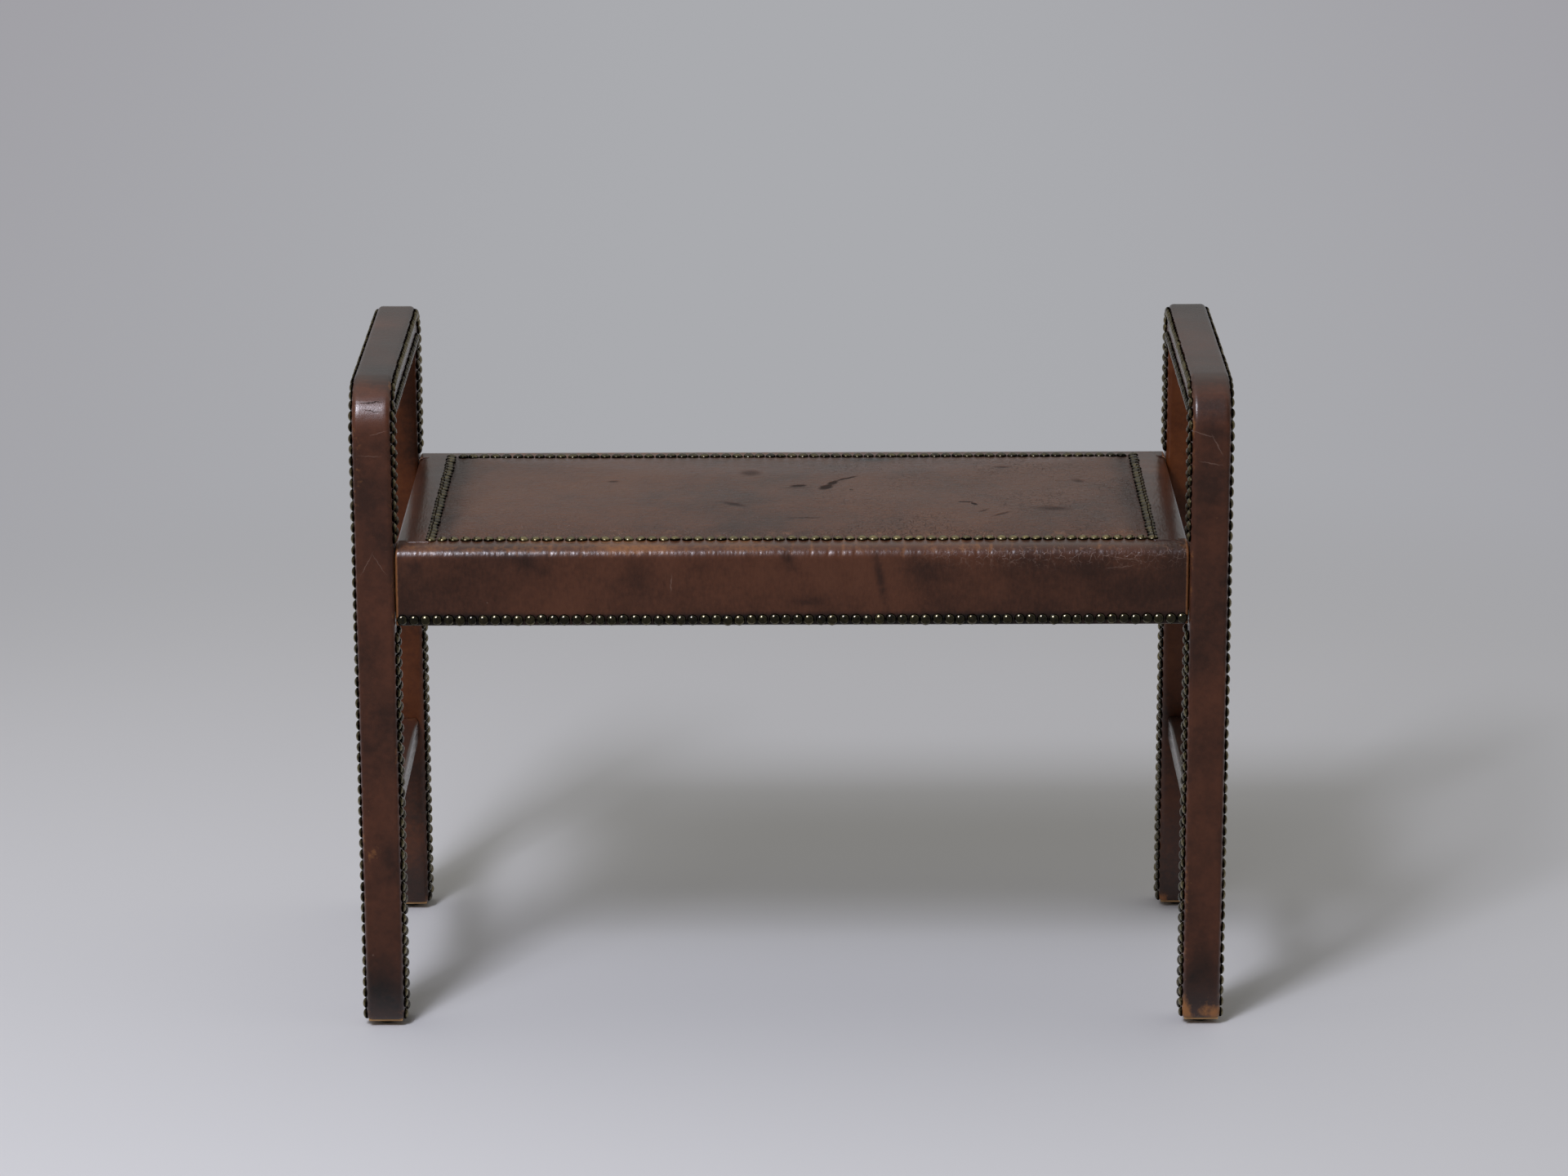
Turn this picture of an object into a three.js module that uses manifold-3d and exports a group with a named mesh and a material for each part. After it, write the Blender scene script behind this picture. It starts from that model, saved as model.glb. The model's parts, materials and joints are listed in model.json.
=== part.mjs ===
// A leather covered footstool: two side frames shaped like an upside-down U, a low stretcher in each frame,
// and an upholstered seat between them, edged with rows of domed nails.
// X runs along the seat, Y from front to back, and Z up from the floor. Lengths are in millimetres.

import * as THREE from 'three';
import { mergeVertices } from 'three/addons/utils/BufferGeometryUtils.js';
import Module from 'manifold-3d';

const wasm = await Module();
wasm.setup();

// Driving dimensions, over the leather
const overallLength = 744;
const overallDepth = 346;
const overallHeight = 575;
const postWidth = 33;
const postDepth = 36;
const topRailHeight = 37;
const frameCornerRadius = 44;
const seatHeight = 432;
const apronHeight = 69;
const seatSetback = 4.5;
const seatEdgeRadius = 11;
const seatEndRadius = 6;
const borderWidth = 26;
const stretcherTop = 186.5;
const stretcherSize = 22;

// Leather and the seat's padding
const leatherThickness = 1.5;
const wrapReturn = 10;
const panelFlange = 5;
const panelRoll = 14;
const panelLift = 5;
const panelCrown = 4;
const padEdgeInset = 4;

// Domed nails, joined here into one bead for each row
const nailHeadWidth = 9.6;
const nailHeadHeight = 3;
const nailRimHeight = 0.8;
const nailCrownWidth = 3.6;
const faceNailInset = 7;
const apronNailInset = 5.3;
const nailRowEndInset = 0.8;

// Joinery
const seatRailThickness = 34;
const seatTenonThickness = 10;
const seatTenonHeight = 46;
const seatTenonDepth = 20;
const endTenonThickness = 10;
const endTenonHeight = 40;
const endTenonDepth = 14;
const topTenonWidth = 12;
const topTenonDepth = 12;
const topTenonLength = 12;
const stretcherTenonSize = 10;
const stretcherTenonDepth = 14;
const cornerBlockLeg = 42;
const cornerBlockHeight = 40;
const cornerBlockRise = 10;

// Webbing, hessian and dust cover
const webbingWidth = 50;
const webbingThickness = 1.2;
const longStrapCount = 2;
const crossStrapCount = 5;
const clothThickness = 0.8;
const rebateWidth = 14;
const dustCoverInset = 12;

// Glides
const glideDiameter = 18;
const glideHeight = 5;
const glideRimHeight = 1.2;
const glideFlatDiameter = 10;
const glideShankDiameter = 2.4;
const glideShankLength = 14;

// Clearances, and how far a cutter runs past what it cuts
const fitGap = 0.3;
const seatEndClearance = 0.7;
const overrun = 2;

// Facets of the curves
const cornerSegments = 6;
const edgeSegments = 4;
const beadSegments = 2;
const glideSegments = 20;
const glideDomeSteps = 4;
const panelCentreCellsX = 10;
const panelCentreCellsY = 6;
const panelRollShares = [0.2, 0.45, 0.7, 1];

// Sizes that follow from the values above
const skin = leatherThickness + fitGap;
const nailStandoff = nailHeadHeight + fitGap;
const halfDepth = overallDepth / 2;
const halfPost = postWidth / 2;
const postCentreY = halfDepth - postDepth / 2;
const frameOffset = overallLength / 2 - halfPost;
const seatHalfLength = frameOffset - halfPost - nailStandoff - seatEndClearance;
const seatHalfDepth = halfDepth - seatSetback;
const seatBottom = seatHeight - apronHeight;
const railTop = apronHeight - skin;
const tenonBottom = (railTop - seatTenonHeight) / 2;
const endTenonBottom = (railTop - endTenonHeight) / 2;
const strapLayer = webbingThickness + fitGap;
const rebateDepth = 2 * strapLayer + clothThickness + fitGap;
const railInnerX = seatHalfLength - skin - seatRailThickness;
const railInnerY = seatHalfDepth - skin - seatRailThickness;
const borderX = seatHalfLength - borderWidth;
const borderY = seatHalfDepth - borderWidth;

// Materials
const leatherBrown = new THREE.MeshStandardMaterial({ color: 0x4a2a1c, roughness: 0.38, metalness: 0 });
const seatBrown = new THREE.MeshStandardMaterial({ color: 0x5a3a28, roughness: 0.42, metalness: 0 });
const nailBrass = new THREE.MeshStandardMaterial({ color: 0x4b4333, roughness: 0.35, metalness: 1 });
const glideSteel = new THREE.MeshStandardMaterial({ color: 0x3a3834, roughness: 0.4, metalness: 1 });
const beech = new THREE.MeshStandardMaterial({ color: 0xb08a5c, roughness: 0.7, metalness: 0 });
const jute = new THREE.MeshStandardMaterial({ color: 0x9a8560, roughness: 0.95, metalness: 0 });
const horsehair = new THREE.MeshStandardMaterial({ color: 0x4f4237, roughness: 1, metalness: 0 });
const blackCloth = new THREE.MeshStandardMaterial({ color: 0x1b1a19, roughness: 0.95, metalness: 0 });

// Turns a closed three.js geometry into a solid that can be joined and cut
function solidOf(geometry) {
  const plain = geometry.clone();
  plain.deleteAttribute('normal');
  plain.deleteAttribute('uv');
  const merged = mergeVertices(plain);
  return new wasm.Manifold(new wasm.Mesh({
    numProp: 3,
    vertProperties: new Float32Array(merged.attributes.position.array),
    triVerts: new Uint32Array(merged.index.array),
  }));
}

// Turns a solid into a named mesh with flat facets and a material of its own
function meshOf(name, solid, material) {
  const { vertProperties, triVerts } = solid.getMesh();
  const geometry = new THREE.BufferGeometry();
  geometry.setAttribute('position', new THREE.BufferAttribute(new Float32Array(vertProperties), 3));
  geometry.setIndex(new THREE.BufferAttribute(new Uint32Array(triVerts), 1));
  const faceted = geometry.toNonIndexed();
  faceted.computeVertexNormals();
  const mesh = new THREE.Mesh(faceted, material.clone());
  mesh.name = name;
  return mesh;
}

function box(x0, x1, y0, y1, z0, z1) {
  const geometry = new THREE.BoxGeometry(x1 - x0, y1 - y0, z1 - z0);
  geometry.translate((x0 + x1) / 2, (y0 + y1) / 2, (z0 + z1) / 2);
  return solidOf(geometry);
}

// Extrudes an outline along an axis. For the X, Y and Z axes the outline is drawn in (Y, Z), (X, Z)
// and (X, Y).
function extrude(axis, points, from, to, bevel = {}, holes = []) {
  const shape = new THREE.Shape(points);
  shape.holes = holes.map((hole) => new THREE.Path(hole));
  const geometry = new THREE.ExtrudeGeometry(shape, { depth: to - from, bevelEnabled: false, ...bevel });
  const turn = new THREE.Matrix4();
  if (axis === 'x') {
    turn.makeBasis(new THREE.Vector3(0, 1, 0), new THREE.Vector3(0, 0, 1), new THREE.Vector3(1, 0, 0));
    geometry.applyMatrix4(turn);
    geometry.translate(from, 0, 0);
  } else if (axis === 'y') {
    turn.makeBasis(new THREE.Vector3(1, 0, 0), new THREE.Vector3(0, 0, 1), new THREE.Vector3(0, -1, 0));
    geometry.applyMatrix4(turn);
    geometry.translate(0, to, 0);
  } else {
    geometry.translate(0, 0, from);
  }
  return solidOf(geometry);
}

// Points of a quarter circle or less, from one angle to another in quarter turns
function arcPoints(centreU, centreV, radius, fromTurn, toTurn, segments) {
  const points = [];
  for (let i = 0; i <= segments; i += 1) {
    const angle = (fromTurn + (toTurn - fromTurn) * i / segments) * Math.PI / 2;
    points.push(new THREE.Vector2(centreU + radius * Math.cos(angle), centreV + radius * Math.sin(angle)));
  }
  return points;
}

// The frame's outer edge from the front foot over the top to the rear foot, set in by a distance
function outerEdge(inset, foot) {
  const side = halfDepth - inset;
  const centreY = halfDepth - frameCornerRadius;
  const centreZ = overallHeight - frameCornerRadius;
  return [
    new THREE.Vector2(-side, foot),
    ...arcPoints(-centreY, centreZ, frameCornerRadius - inset, 2, 1, cornerSegments),
    ...arcPoints(centreY, centreZ, frameCornerRadius - inset, 1, 0, cornerSegments),
    new THREE.Vector2(side, foot),
  ];
}

// The edge of the frame's opening from the front foot to the rear foot, set into the frame by a distance
function openingEdge(inset, foot) {
  const side = halfDepth - postDepth + inset;
  const top = overallHeight - topRailHeight + inset;
  return [
    new THREE.Vector2(-side, foot),
    new THREE.Vector2(-side, top),
    new THREE.Vector2(side, top),
    new THREE.Vector2(side, foot),
  ];
}

function band(edge, otherEdge) {
  return [...edge, ...otherEdge.slice().reverse()];
}

// A row of nails as one bead: the outline of its crown, spread to the nails' full width and cut off
// at the leather
function bead(axis, crownOutline, level, outward, holes = []) {
  const spread = (nailHeadWidth - nailCrownWidth) / 2;
  const bevel = {
    bevelEnabled: true,
    bevelThickness: nailHeadHeight - nailRimHeight,
    bevelSize: spread,
    bevelSegments: beadSegments,
  };
  const base = level + outward * fitGap;
  const lens = extrude(axis, crownOutline, base - nailRimHeight, base + nailRimHeight, bevel, holes);
  const far = overallLength;
  const low = Math.min(base, base + outward * far);
  const high = Math.max(base, base + outward * far);
  const keep = {
    x: () => box(low, high, -far, far, -far, far),
    y: () => box(-far, far, low, high, -far, far),
    z: () => box(-far, far, -far, far, low, high),
  };
  return lens.intersect(keep[axis]());
}

// Side frame. The wood of its posts and top rail is cut from one outline, so that the rounded corner runs on
// smoothly from the rail into the posts.

const woodHalfPost = halfPost - skin;
const railWoodBottom = overallHeight - topRailHeight + skin;
const postWoodTop = railWoodBottom - fitGap;
const postWoodInner = halfDepth - postDepth + skin;
const frameWood = extrude('x', outerEdge(skin, glideHeight + fitGap), -woodHalfPost, woodHalfPost);

// A slot for a seat tenon, from the seat side to the tenon's depth in the post
function seatTenonSlot(inward, end, clearance) {
  const reach = inward * (halfPost + overrun);
  const depth = inward * (woodHalfPost - seatTenonDepth - clearance);
  const halfThickness = seatTenonThickness / 2 + clearance;
  const low = seatBottom + tenonBottom - clearance;
  return box(
    Math.min(reach, depth),
    Math.max(reach, depth),
    end * postCentreY - halfThickness,
    end * postCentreY + halfThickness,
    low,
    low + seatTenonHeight + 2 * clearance,
  );
}

function stretcherTenonSlot(clearance) {
  const half = stretcherTenonSize / 2 + clearance;
  const reach = halfDepth - postDepth + skin + stretcherTenonDepth + clearance;
  const centre = stretcherTop - stretcherSize / 2;
  return box(-half, half, -reach, reach, centre - half, centre + half);
}

function glideHole(end) {
  const geometry = new THREE.CylinderGeometry(
    glideShankDiameter / 2 + fitGap,
    glideShankDiameter / 2 + fitGap,
    glideShankLength + fitGap + overrun,
    glideSegments,
  );
  geometry.rotateX(Math.PI / 2);
  geometry.translate(0, end * postCentreY, glideHeight + (glideShankLength + fitGap - overrun) / 2);
  return solidOf(geometry);
}

function topTenon(end, clearance) {
  const halfWidth = topTenonWidth / 2 + clearance;
  const halfTenonDepth = topTenonDepth / 2 + clearance;
  return box(
    -halfWidth,
    halfWidth,
    end * postCentreY - halfTenonDepth,
    end * postCentreY + halfTenonDepth,
    postWoodTop - overrun,
    postWoodTop + topTenonLength + clearance,
  );
}

function post(inward, end) {
  const inner = end * postWoodInner;
  const outer = end * (halfDepth + overrun);
  const zone = box(-halfPost, halfPost, Math.min(inner, outer), Math.max(inner, outer), 0, postWoodTop);
  return frameWood
    .intersect(zone)
    .add(topTenon(end, 0))
    .subtract(seatTenonSlot(inward, end, fitGap))
    .subtract(stretcherTenonSlot(fitGap))
    .subtract(glideHole(end));
}

function topRail() {
  const zone = box(-halfPost, halfPost, -halfDepth, halfDepth, railWoodBottom, overallHeight);
  return frameWood
    .intersect(zone)
    .subtract(topTenon(-1, fitGap))
    .subtract(topTenon(1, fitGap));
}

function stretcher() {
  const half = stretcherSize / 2 - skin;
  const reach = halfDepth - postDepth + skin - fitGap;
  const centre = stretcherTop - stretcherSize / 2;
  return box(-half, half, -reach, reach, centre - half, centre + half).add(stretcherTenonSlot(0));
}

function stretcherSleeve() {
  const half = stretcherSize / 2;
  const inner = half - leatherThickness;
  const reach = halfDepth - postDepth - fitGap;
  const centre = stretcherTop - half;
  const sleeve = box(-half, half, -reach, reach, centre - half, centre + half);
  return sleeve.subtract(
    box(-inner, inner, -reach - overrun, reach + overrun, centre - inner, centre + inner),
  );
}

// A channel of leather: a web along one edge of the frame, and a narrow return on each face
function wrap(edge) {
  const whole = band(edge(0, glideHeight), edge(wrapReturn, glideHeight));
  const below = glideHeight - overrun;
  const hollow = band(edge(leatherThickness, below), edge(wrapReturn + overrun, below));
  const inside = halfPost - leatherThickness;
  return extrude('x', whole, -halfPost, halfPost).subtract(extrude('x', hollow, -inside, inside));
}

function outerWrap() {
  return wrap(outerEdge);
}

function innerWrap() {
  const half = stretcherSize / 2 - skin + fitGap;
  const reach = halfDepth - postDepth + wrapReturn;
  const centre = stretcherTop - stretcherSize / 2;
  return wrap(openingEdge).subtract(
    box(-half, half, -reach, reach, centre - half, centre + half),
  );
}

// The leather strip on one face of the frame, between the returns of the two wraps
function faceLeather(side, inward) {
  const inset = wrapReturn + fitGap;
  const outline = band(outerEdge(inset, glideHeight), openingEdge(inset, glideHeight));
  const near = side * (halfPost - leatherThickness);
  const far = side * halfPost;
  const strip = extrude('x', outline, Math.min(near, far), Math.max(near, far));
  if (side !== inward) {
    return strip;
  }
  return strip.subtract(seatTenonSlot(inward, -1, fitGap)).subtract(seatTenonSlot(inward, 1, fitGap));
}

function faceNails(side, edge) {
  const half = nailCrownWidth / 2;
  const foot = glideHeight + nailRowEndInset + nailHeadWidth / 2;
  const crown = band(edge(faceNailInset - half, foot), edge(faceNailInset + half, foot));
  return bead('x', crown, side * halfPost, side);
}

// A domed glide with its shank, turned about the Z axis and cut flat where it meets the floor
function glide() {
  const points = [new THREE.Vector2(0, 0)];
  const flat = glideFlatDiameter / 2;
  const rim = glideDiameter / 2;
  const shoulder = glideHeight - glideRimHeight;
  for (let i = 0; i <= glideDomeSteps; i += 1) {
    const angle = i / glideDomeSteps * Math.PI / 2;
    points.push(new THREE.Vector2(flat + (rim - flat) * Math.sin(angle), shoulder * (1 - Math.cos(angle))));
  }
  points.push(new THREE.Vector2(rim, glideHeight));
  points.push(new THREE.Vector2(glideShankDiameter / 2, glideHeight));
  points.push(new THREE.Vector2(glideShankDiameter / 2, glideHeight + glideShankLength));
  points.push(new THREE.Vector2(0, glideHeight + glideShankLength));
  const geometry = new THREE.LatheGeometry(points, glideSegments);
  geometry.rotateX(Math.PI / 2);
  return solidOf(geometry);
}

function sideFrame(name, inward) {
  const frame = new THREE.Group();
  frame.position.x = -inward * frameOffset;
  frame.add(
    meshOf(`${name}_front_post`, post(inward, -1), beech),
    meshOf(`${name}_rear_post`, post(inward, 1), beech),
    meshOf(`${name}_top_rail`, topRail(), beech),
    meshOf(`${name}_stretcher`, stretcher(), beech),
    meshOf(`${name}_stretcher_leather`, stretcherSleeve(), leatherBrown),
    meshOf(`${name}_outer_wrap`, outerWrap(), leatherBrown),
    meshOf(`${name}_inner_wrap`, innerWrap(), leatherBrown),
  );
  const faces = { outside: -inward, inside: inward };
  for (const [face, side] of Object.entries(faces)) {
    frame.add(
      meshOf(`${name}_${face}_face_leather`, faceLeather(side, inward), leatherBrown),
      meshOf(`${name}_${face}_edge_nails`, faceNails(side, outerEdge), nailBrass),
      meshOf(`${name}_${face}_opening_nails`, faceNails(side, openingEdge), nailBrass),
    );
  }
  const ends = { front: -1, rear: 1 };
  for (const [endName, end] of Object.entries(ends)) {
    const foot = meshOf(`${name}_${endName}_glide`, glide(), glideSteel);
    foot.position.y = end * postCentreY;
    frame.add(foot);
  }
  return frame;
}

// Seat, drawn from the bottom edge of its aprons

// The seat's outline in one direction: upright sides, and a flat top with rounded edges
function archProfile(half, bottom, top, radius) {
  const centre = half - radius;
  return [
    new THREE.Vector2(-half, bottom),
    ...arcPoints(-centre, top - radius, radius, 2, 1, edgeSegments),
    ...arcPoints(centre, top - radius, radius, 1, 0, edgeSegments),
    new THREE.Vector2(half, bottom),
  ];
}

// The whole seat as a block, set in from its outer faces
function seatBlock(inset, bottom) {
  const halfX = seatHalfLength - inset;
  const halfY = seatHalfDepth - inset;
  const top = apronHeight - inset;
  const acrossX = archProfile(halfX, bottom, top, seatEndRadius - inset);
  const acrossY = archProfile(halfY, bottom, top, seatEdgeRadius - inset);
  return extrude('x', acrossY, -halfX - overrun, halfX + overrun)
    .intersect(extrude('y', acrossX, -halfY - overrun, halfY + overrun));
}

const seatShell = seatBlock(0, 0).subtract(seatBlock(leatherThickness, -overrun));
const seatCore = seatBlock(skin, 0);
const farX = seatHalfLength + overrun;
const farY = seatHalfDepth + overrun;
const farZ = apronHeight + overrun;

// The shallow rebate that the webbing and the hessian lie in
function rebate() {
  const halfX = railInnerX + rebateWidth;
  const halfY = railInnerY + rebateWidth;
  return box(-halfX, halfX, -halfY, halfY, railTop - rebateDepth, farZ);
}

function longRailTenons(end) {
  const reach = frameOffset - woodHalfPost + seatTenonDepth;
  const half = seatTenonThickness / 2;
  const centre = end * postCentreY;
  return box(-reach, reach, centre - half, centre + half, tenonBottom, tenonBottom + seatTenonHeight);
}

// The stub tenons of the two end rails, which enter the front and rear rails
function endRailTenons(clearance) {
  const reach = railInnerY + endTenonDepth + clearance;
  const half = endTenonThickness / 2 + clearance;
  const low = endTenonBottom - clearance;
  const high = endTenonBottom + endTenonHeight + clearance;
  const centre = railInnerX + seatRailThickness / 2;
  return box(centre - half, centre + half, -reach, reach, low, high)
    .add(box(-centre - half, -centre + half, -reach, reach, low, high));
}

function longRail(end) {
  const low = Math.min(end * railInnerY, end * farY);
  const high = Math.max(end * railInnerY, end * farY);
  const zone = box(-farX, farX, low, high, 0, farZ);
  return seatCore
    .intersect(zone)
    .subtract(rebate())
    .add(longRailTenons(end))
    .subtract(endRailTenons(fitGap));
}

function endRail(side) {
  const low = Math.min(side * railInnerX, side * farX);
  const high = Math.max(side * railInnerX, side * farX);
  const halfY = railInnerY - fitGap;
  const zone = box(low, high, -halfY, halfY, 0, farZ);
  const tenons = endRailTenons(0).intersect(box(low, high, -farY, farY, 0, farZ));
  return seatCore.intersect(zone).subtract(rebate()).add(tenons);
}

function cornerBlock(side, end) {
  const x = side * (railInnerX - fitGap);
  const y = end * (railInnerY - fitGap);
  const corner = new THREE.Vector2(x, y);
  const alongX = new THREE.Vector2(x - side * cornerBlockLeg, y);
  const alongY = new THREE.Vector2(x, y - end * cornerBlockLeg);
  return extrude('z', [corner, alongX, alongY], cornerBlockRise, cornerBlockRise + cornerBlockHeight);
}

// Straps lie in two layers in the rebate, spread evenly over the width that they share
function strap(index, count, lengthwise) {
  const halfX = railInnerX + rebateWidth - fitGap;
  const halfY = railInnerY + rebateWidth - fitGap;
  const half = webbingWidth / 2;
  const spanned = lengthwise ? railInnerY : railInnerX;
  const centre = spanned * (2 * (index + 1) / (count + 1) - 1);
  const floor = railTop - rebateDepth + fitGap;
  if (lengthwise) {
    return box(-halfX, halfX, centre - half, centre + half, floor, floor + webbingThickness);
  }
  const bottom = floor + strapLayer;
  return box(centre - half, centre + half, -halfY, halfY, bottom, bottom + webbingThickness);
}

function hessian() {
  const halfX = railInnerX + rebateWidth - fitGap;
  const halfY = railInnerY + rebateWidth - fitGap;
  return box(-halfX, halfX, -halfY, halfY, railTop - clothThickness, railTop);
}

// Height of the panel above the border: a quick rise beside the nails, and a slow crown over the whole
function panelRise(x, y, halfX, halfY) {
  const lift = (distance) => 1 - (1 - Math.min(Math.max(distance / panelRoll, 0), 1)) ** 2;
  const arch = (place, half) => Math.max(1 - (place / half) ** 2, 0);
  const edge = panelLift * lift(halfX - Math.abs(x)) * lift(halfY - Math.abs(y));
  return edge + panelCrown * arch(x, halfX) * arch(y, halfY);
}

// Grid places over half a width: the rim, the rolled edge and the middle, then the same mirrored
function stations(half, flangeWidth, centreCells) {
  const rolled = half - flangeWidth;
  const flat = rolled - panelRoll;
  const positive = [];
  for (let i = 0; i <= centreCells / 2; i += 1) {
    positive.push(flat * i / (centreCells / 2));
  }
  for (const share of [...panelRollShares].reverse().slice(1)) {
    positive.push(rolled - panelRoll * share);
  }
  positive.push(rolled);
  if (flangeWidth > 0) {
    positive.push(half);
  }
  return [...positive.slice(1).reverse().map((place) => -place), ...positive];
}

// A closed sheet over a grid, between a top and a bottom surface
function sheet(xs, ys, topAt, bottomAt) {
  const positions = [];
  const indices = [];
  const count = xs.length * ys.length;
  for (const heightAt of [topAt, bottomAt]) {
    for (const y of ys) {
      for (const x of xs) {
        positions.push(x, y, heightAt(x, y));
      }
    }
  }
  const top = (i, j) => j * xs.length + i;
  const bottom = (i, j) => count + top(i, j);
  const quad = (a, b, c, d) => indices.push(a, b, c, a, c, d);
  for (let j = 0; j < ys.length - 1; j += 1) {
    for (let i = 0; i < xs.length - 1; i += 1) {
      quad(top(i, j), top(i + 1, j), top(i + 1, j + 1), top(i, j + 1));
      quad(bottom(i, j), bottom(i, j + 1), bottom(i + 1, j + 1), bottom(i + 1, j));
    }
  }
  const lastI = xs.length - 1;
  const lastJ = ys.length - 1;
  for (let i = 0; i < lastI; i += 1) {
    quad(bottom(i, 0), bottom(i + 1, 0), top(i + 1, 0), top(i, 0));
    quad(top(i, lastJ), top(i + 1, lastJ), bottom(i + 1, lastJ), bottom(i, lastJ));
  }
  for (let j = 0; j < lastJ; j += 1) {
    quad(top(0, j), top(0, j + 1), bottom(0, j + 1), bottom(0, j));
    quad(bottom(lastI, j), bottom(lastI, j + 1), top(lastI, j + 1), top(lastI, j));
  }
  const geometry = new THREE.BufferGeometry();
  geometry.setAttribute('position', new THREE.BufferAttribute(new Float32Array(positions), 3));
  geometry.setIndex(indices);
  return solidOf(geometry);
}

const panelHalfX = borderX - fitGap;
const panelHalfY = borderY - fitGap;
const crownHalfX = panelHalfX - panelFlange;
const crownHalfY = panelHalfY - panelFlange;

function panelTop(x, y) {
  return apronHeight + panelRise(x, y, crownHalfX, crownHalfY);
}

function seatPanel() {
  const xs = stations(panelHalfX, panelFlange, panelCentreCellsX);
  const ys = stations(panelHalfY, panelFlange, panelCentreCellsY);
  return sheet(xs, ys, panelTop, (x, y) => panelTop(x, y) - leatherThickness);
}

function stuffing() {
  const xs = stations(crownHalfX - padEdgeInset, 0, panelCentreCellsX);
  const ys = stations(crownHalfY - padEdgeInset, 0, panelCentreCellsY);
  return sheet(xs, ys, (x, y) => panelTop(x, y) - skin, () => railTop + fitGap);
}

function apronLeather(end) {
  const low = Math.min(end * borderY, end * farY);
  const high = Math.max(end * borderY, end * farY);
  const reach = farX + overrun;
  const half = seatTenonThickness / 2 + fitGap;
  const centre = end * postCentreY;
  const slot = box(
    -reach,
    reach,
    centre - half,
    centre + half,
    tenonBottom - fitGap,
    tenonBottom + seatTenonHeight + fitGap,
  );
  return seatShell.intersect(box(-farX, farX, low, high, 0, farZ)).subtract(slot);
}

function endLeather(side) {
  const low = Math.min(side * borderX, side * farX);
  const high = Math.max(side * borderX, side * farX);
  const halfY = borderY - fitGap;
  return seatShell.intersect(box(low, high, -halfY, halfY, 0, farZ));
}

function rectangle(halfX, halfY) {
  return [
    new THREE.Vector2(-halfX, -halfY),
    new THREE.Vector2(halfX, -halfY),
    new THREE.Vector2(halfX, halfY),
    new THREE.Vector2(-halfX, halfY),
  ];
}

function borderNails() {
  const half = nailCrownWidth / 2;
  const outline = rectangle(borderX + half, borderY + half);
  const hole = rectangle(borderX - half, borderY - half).reverse();
  return bead('z', outline, apronHeight, 1, [hole]);
}

function apronNails(end) {
  const reach = seatHalfLength - nailRowEndInset - (nailHeadWidth - nailCrownWidth) / 2;
  const half = nailCrownWidth / 2;
  const row = [
    new THREE.Vector2(-reach, apronNailInset - half),
    new THREE.Vector2(reach, apronNailInset - half),
    new THREE.Vector2(reach, apronNailInset + half),
    new THREE.Vector2(-reach, apronNailInset + half),
  ];
  return bead('y', row, end * seatHalfDepth, end);
}

function dustCover() {
  const halfX = seatHalfLength - skin - dustCoverInset;
  const halfY = seatHalfDepth - skin - dustCoverInset;
  return box(-halfX, halfX, -halfY, halfY, -fitGap - clothThickness, -fitGap);
}

function seat() {
  const group = new THREE.Group();
  group.position.z = seatBottom;
  group.add(
    meshOf('seat_front_rail', longRail(-1), beech),
    meshOf('seat_rear_rail', longRail(1), beech),
    meshOf('seat_left_rail', endRail(-1), beech),
    meshOf('seat_right_rail', endRail(1), beech),
    meshOf('corner_block_front_left', cornerBlock(-1, -1), beech),
    meshOf('corner_block_front_right', cornerBlock(1, -1), beech),
    meshOf('corner_block_rear_left', cornerBlock(-1, 1), beech),
    meshOf('corner_block_rear_right', cornerBlock(1, 1), beech),
  );
  for (let i = 0; i < longStrapCount; i += 1) {
    group.add(meshOf(`webbing_long_${i + 1}`, strap(i, longStrapCount, true), jute));
  }
  for (let i = 0; i < crossStrapCount; i += 1) {
    group.add(meshOf(`webbing_cross_${i + 1}`, strap(i, crossStrapCount, false), jute));
  }
  group.add(
    meshOf('hessian', hessian(), jute),
    meshOf('stuffing_pad', stuffing(), horsehair),
    meshOf('seat_panel_leather', seatPanel(), seatBrown),
    meshOf('front_apron_leather', apronLeather(-1), seatBrown),
    meshOf('rear_apron_leather', apronLeather(1), seatBrown),
    meshOf('left_end_leather', endLeather(-1), seatBrown),
    meshOf('right_end_leather', endLeather(1), seatBrown),
    meshOf('border_nails', borderNails(), nailBrass),
    meshOf('front_apron_nails', apronNails(-1), nailBrass),
    meshOf('rear_apron_nails', apronNails(1), nailBrass),
    meshOf('dust_cover', dustCover(), blackCloth),
  );
  return group;
}

const group = new THREE.Group();
group.add(sideFrame('left', 1), sideFrame('right', -1), seat());

export default group;
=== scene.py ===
# %% [markdown]
# An upholstered footstool in old brown leather.
# Two arched side frames are bound in waxed hide and edged with domed brass nails, and a padded seat sits between
# them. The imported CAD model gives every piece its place, so the first step is to load it and to keep its box.
# Everything below is worked out from sizes that the frame already holds.

import json
import math

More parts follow.
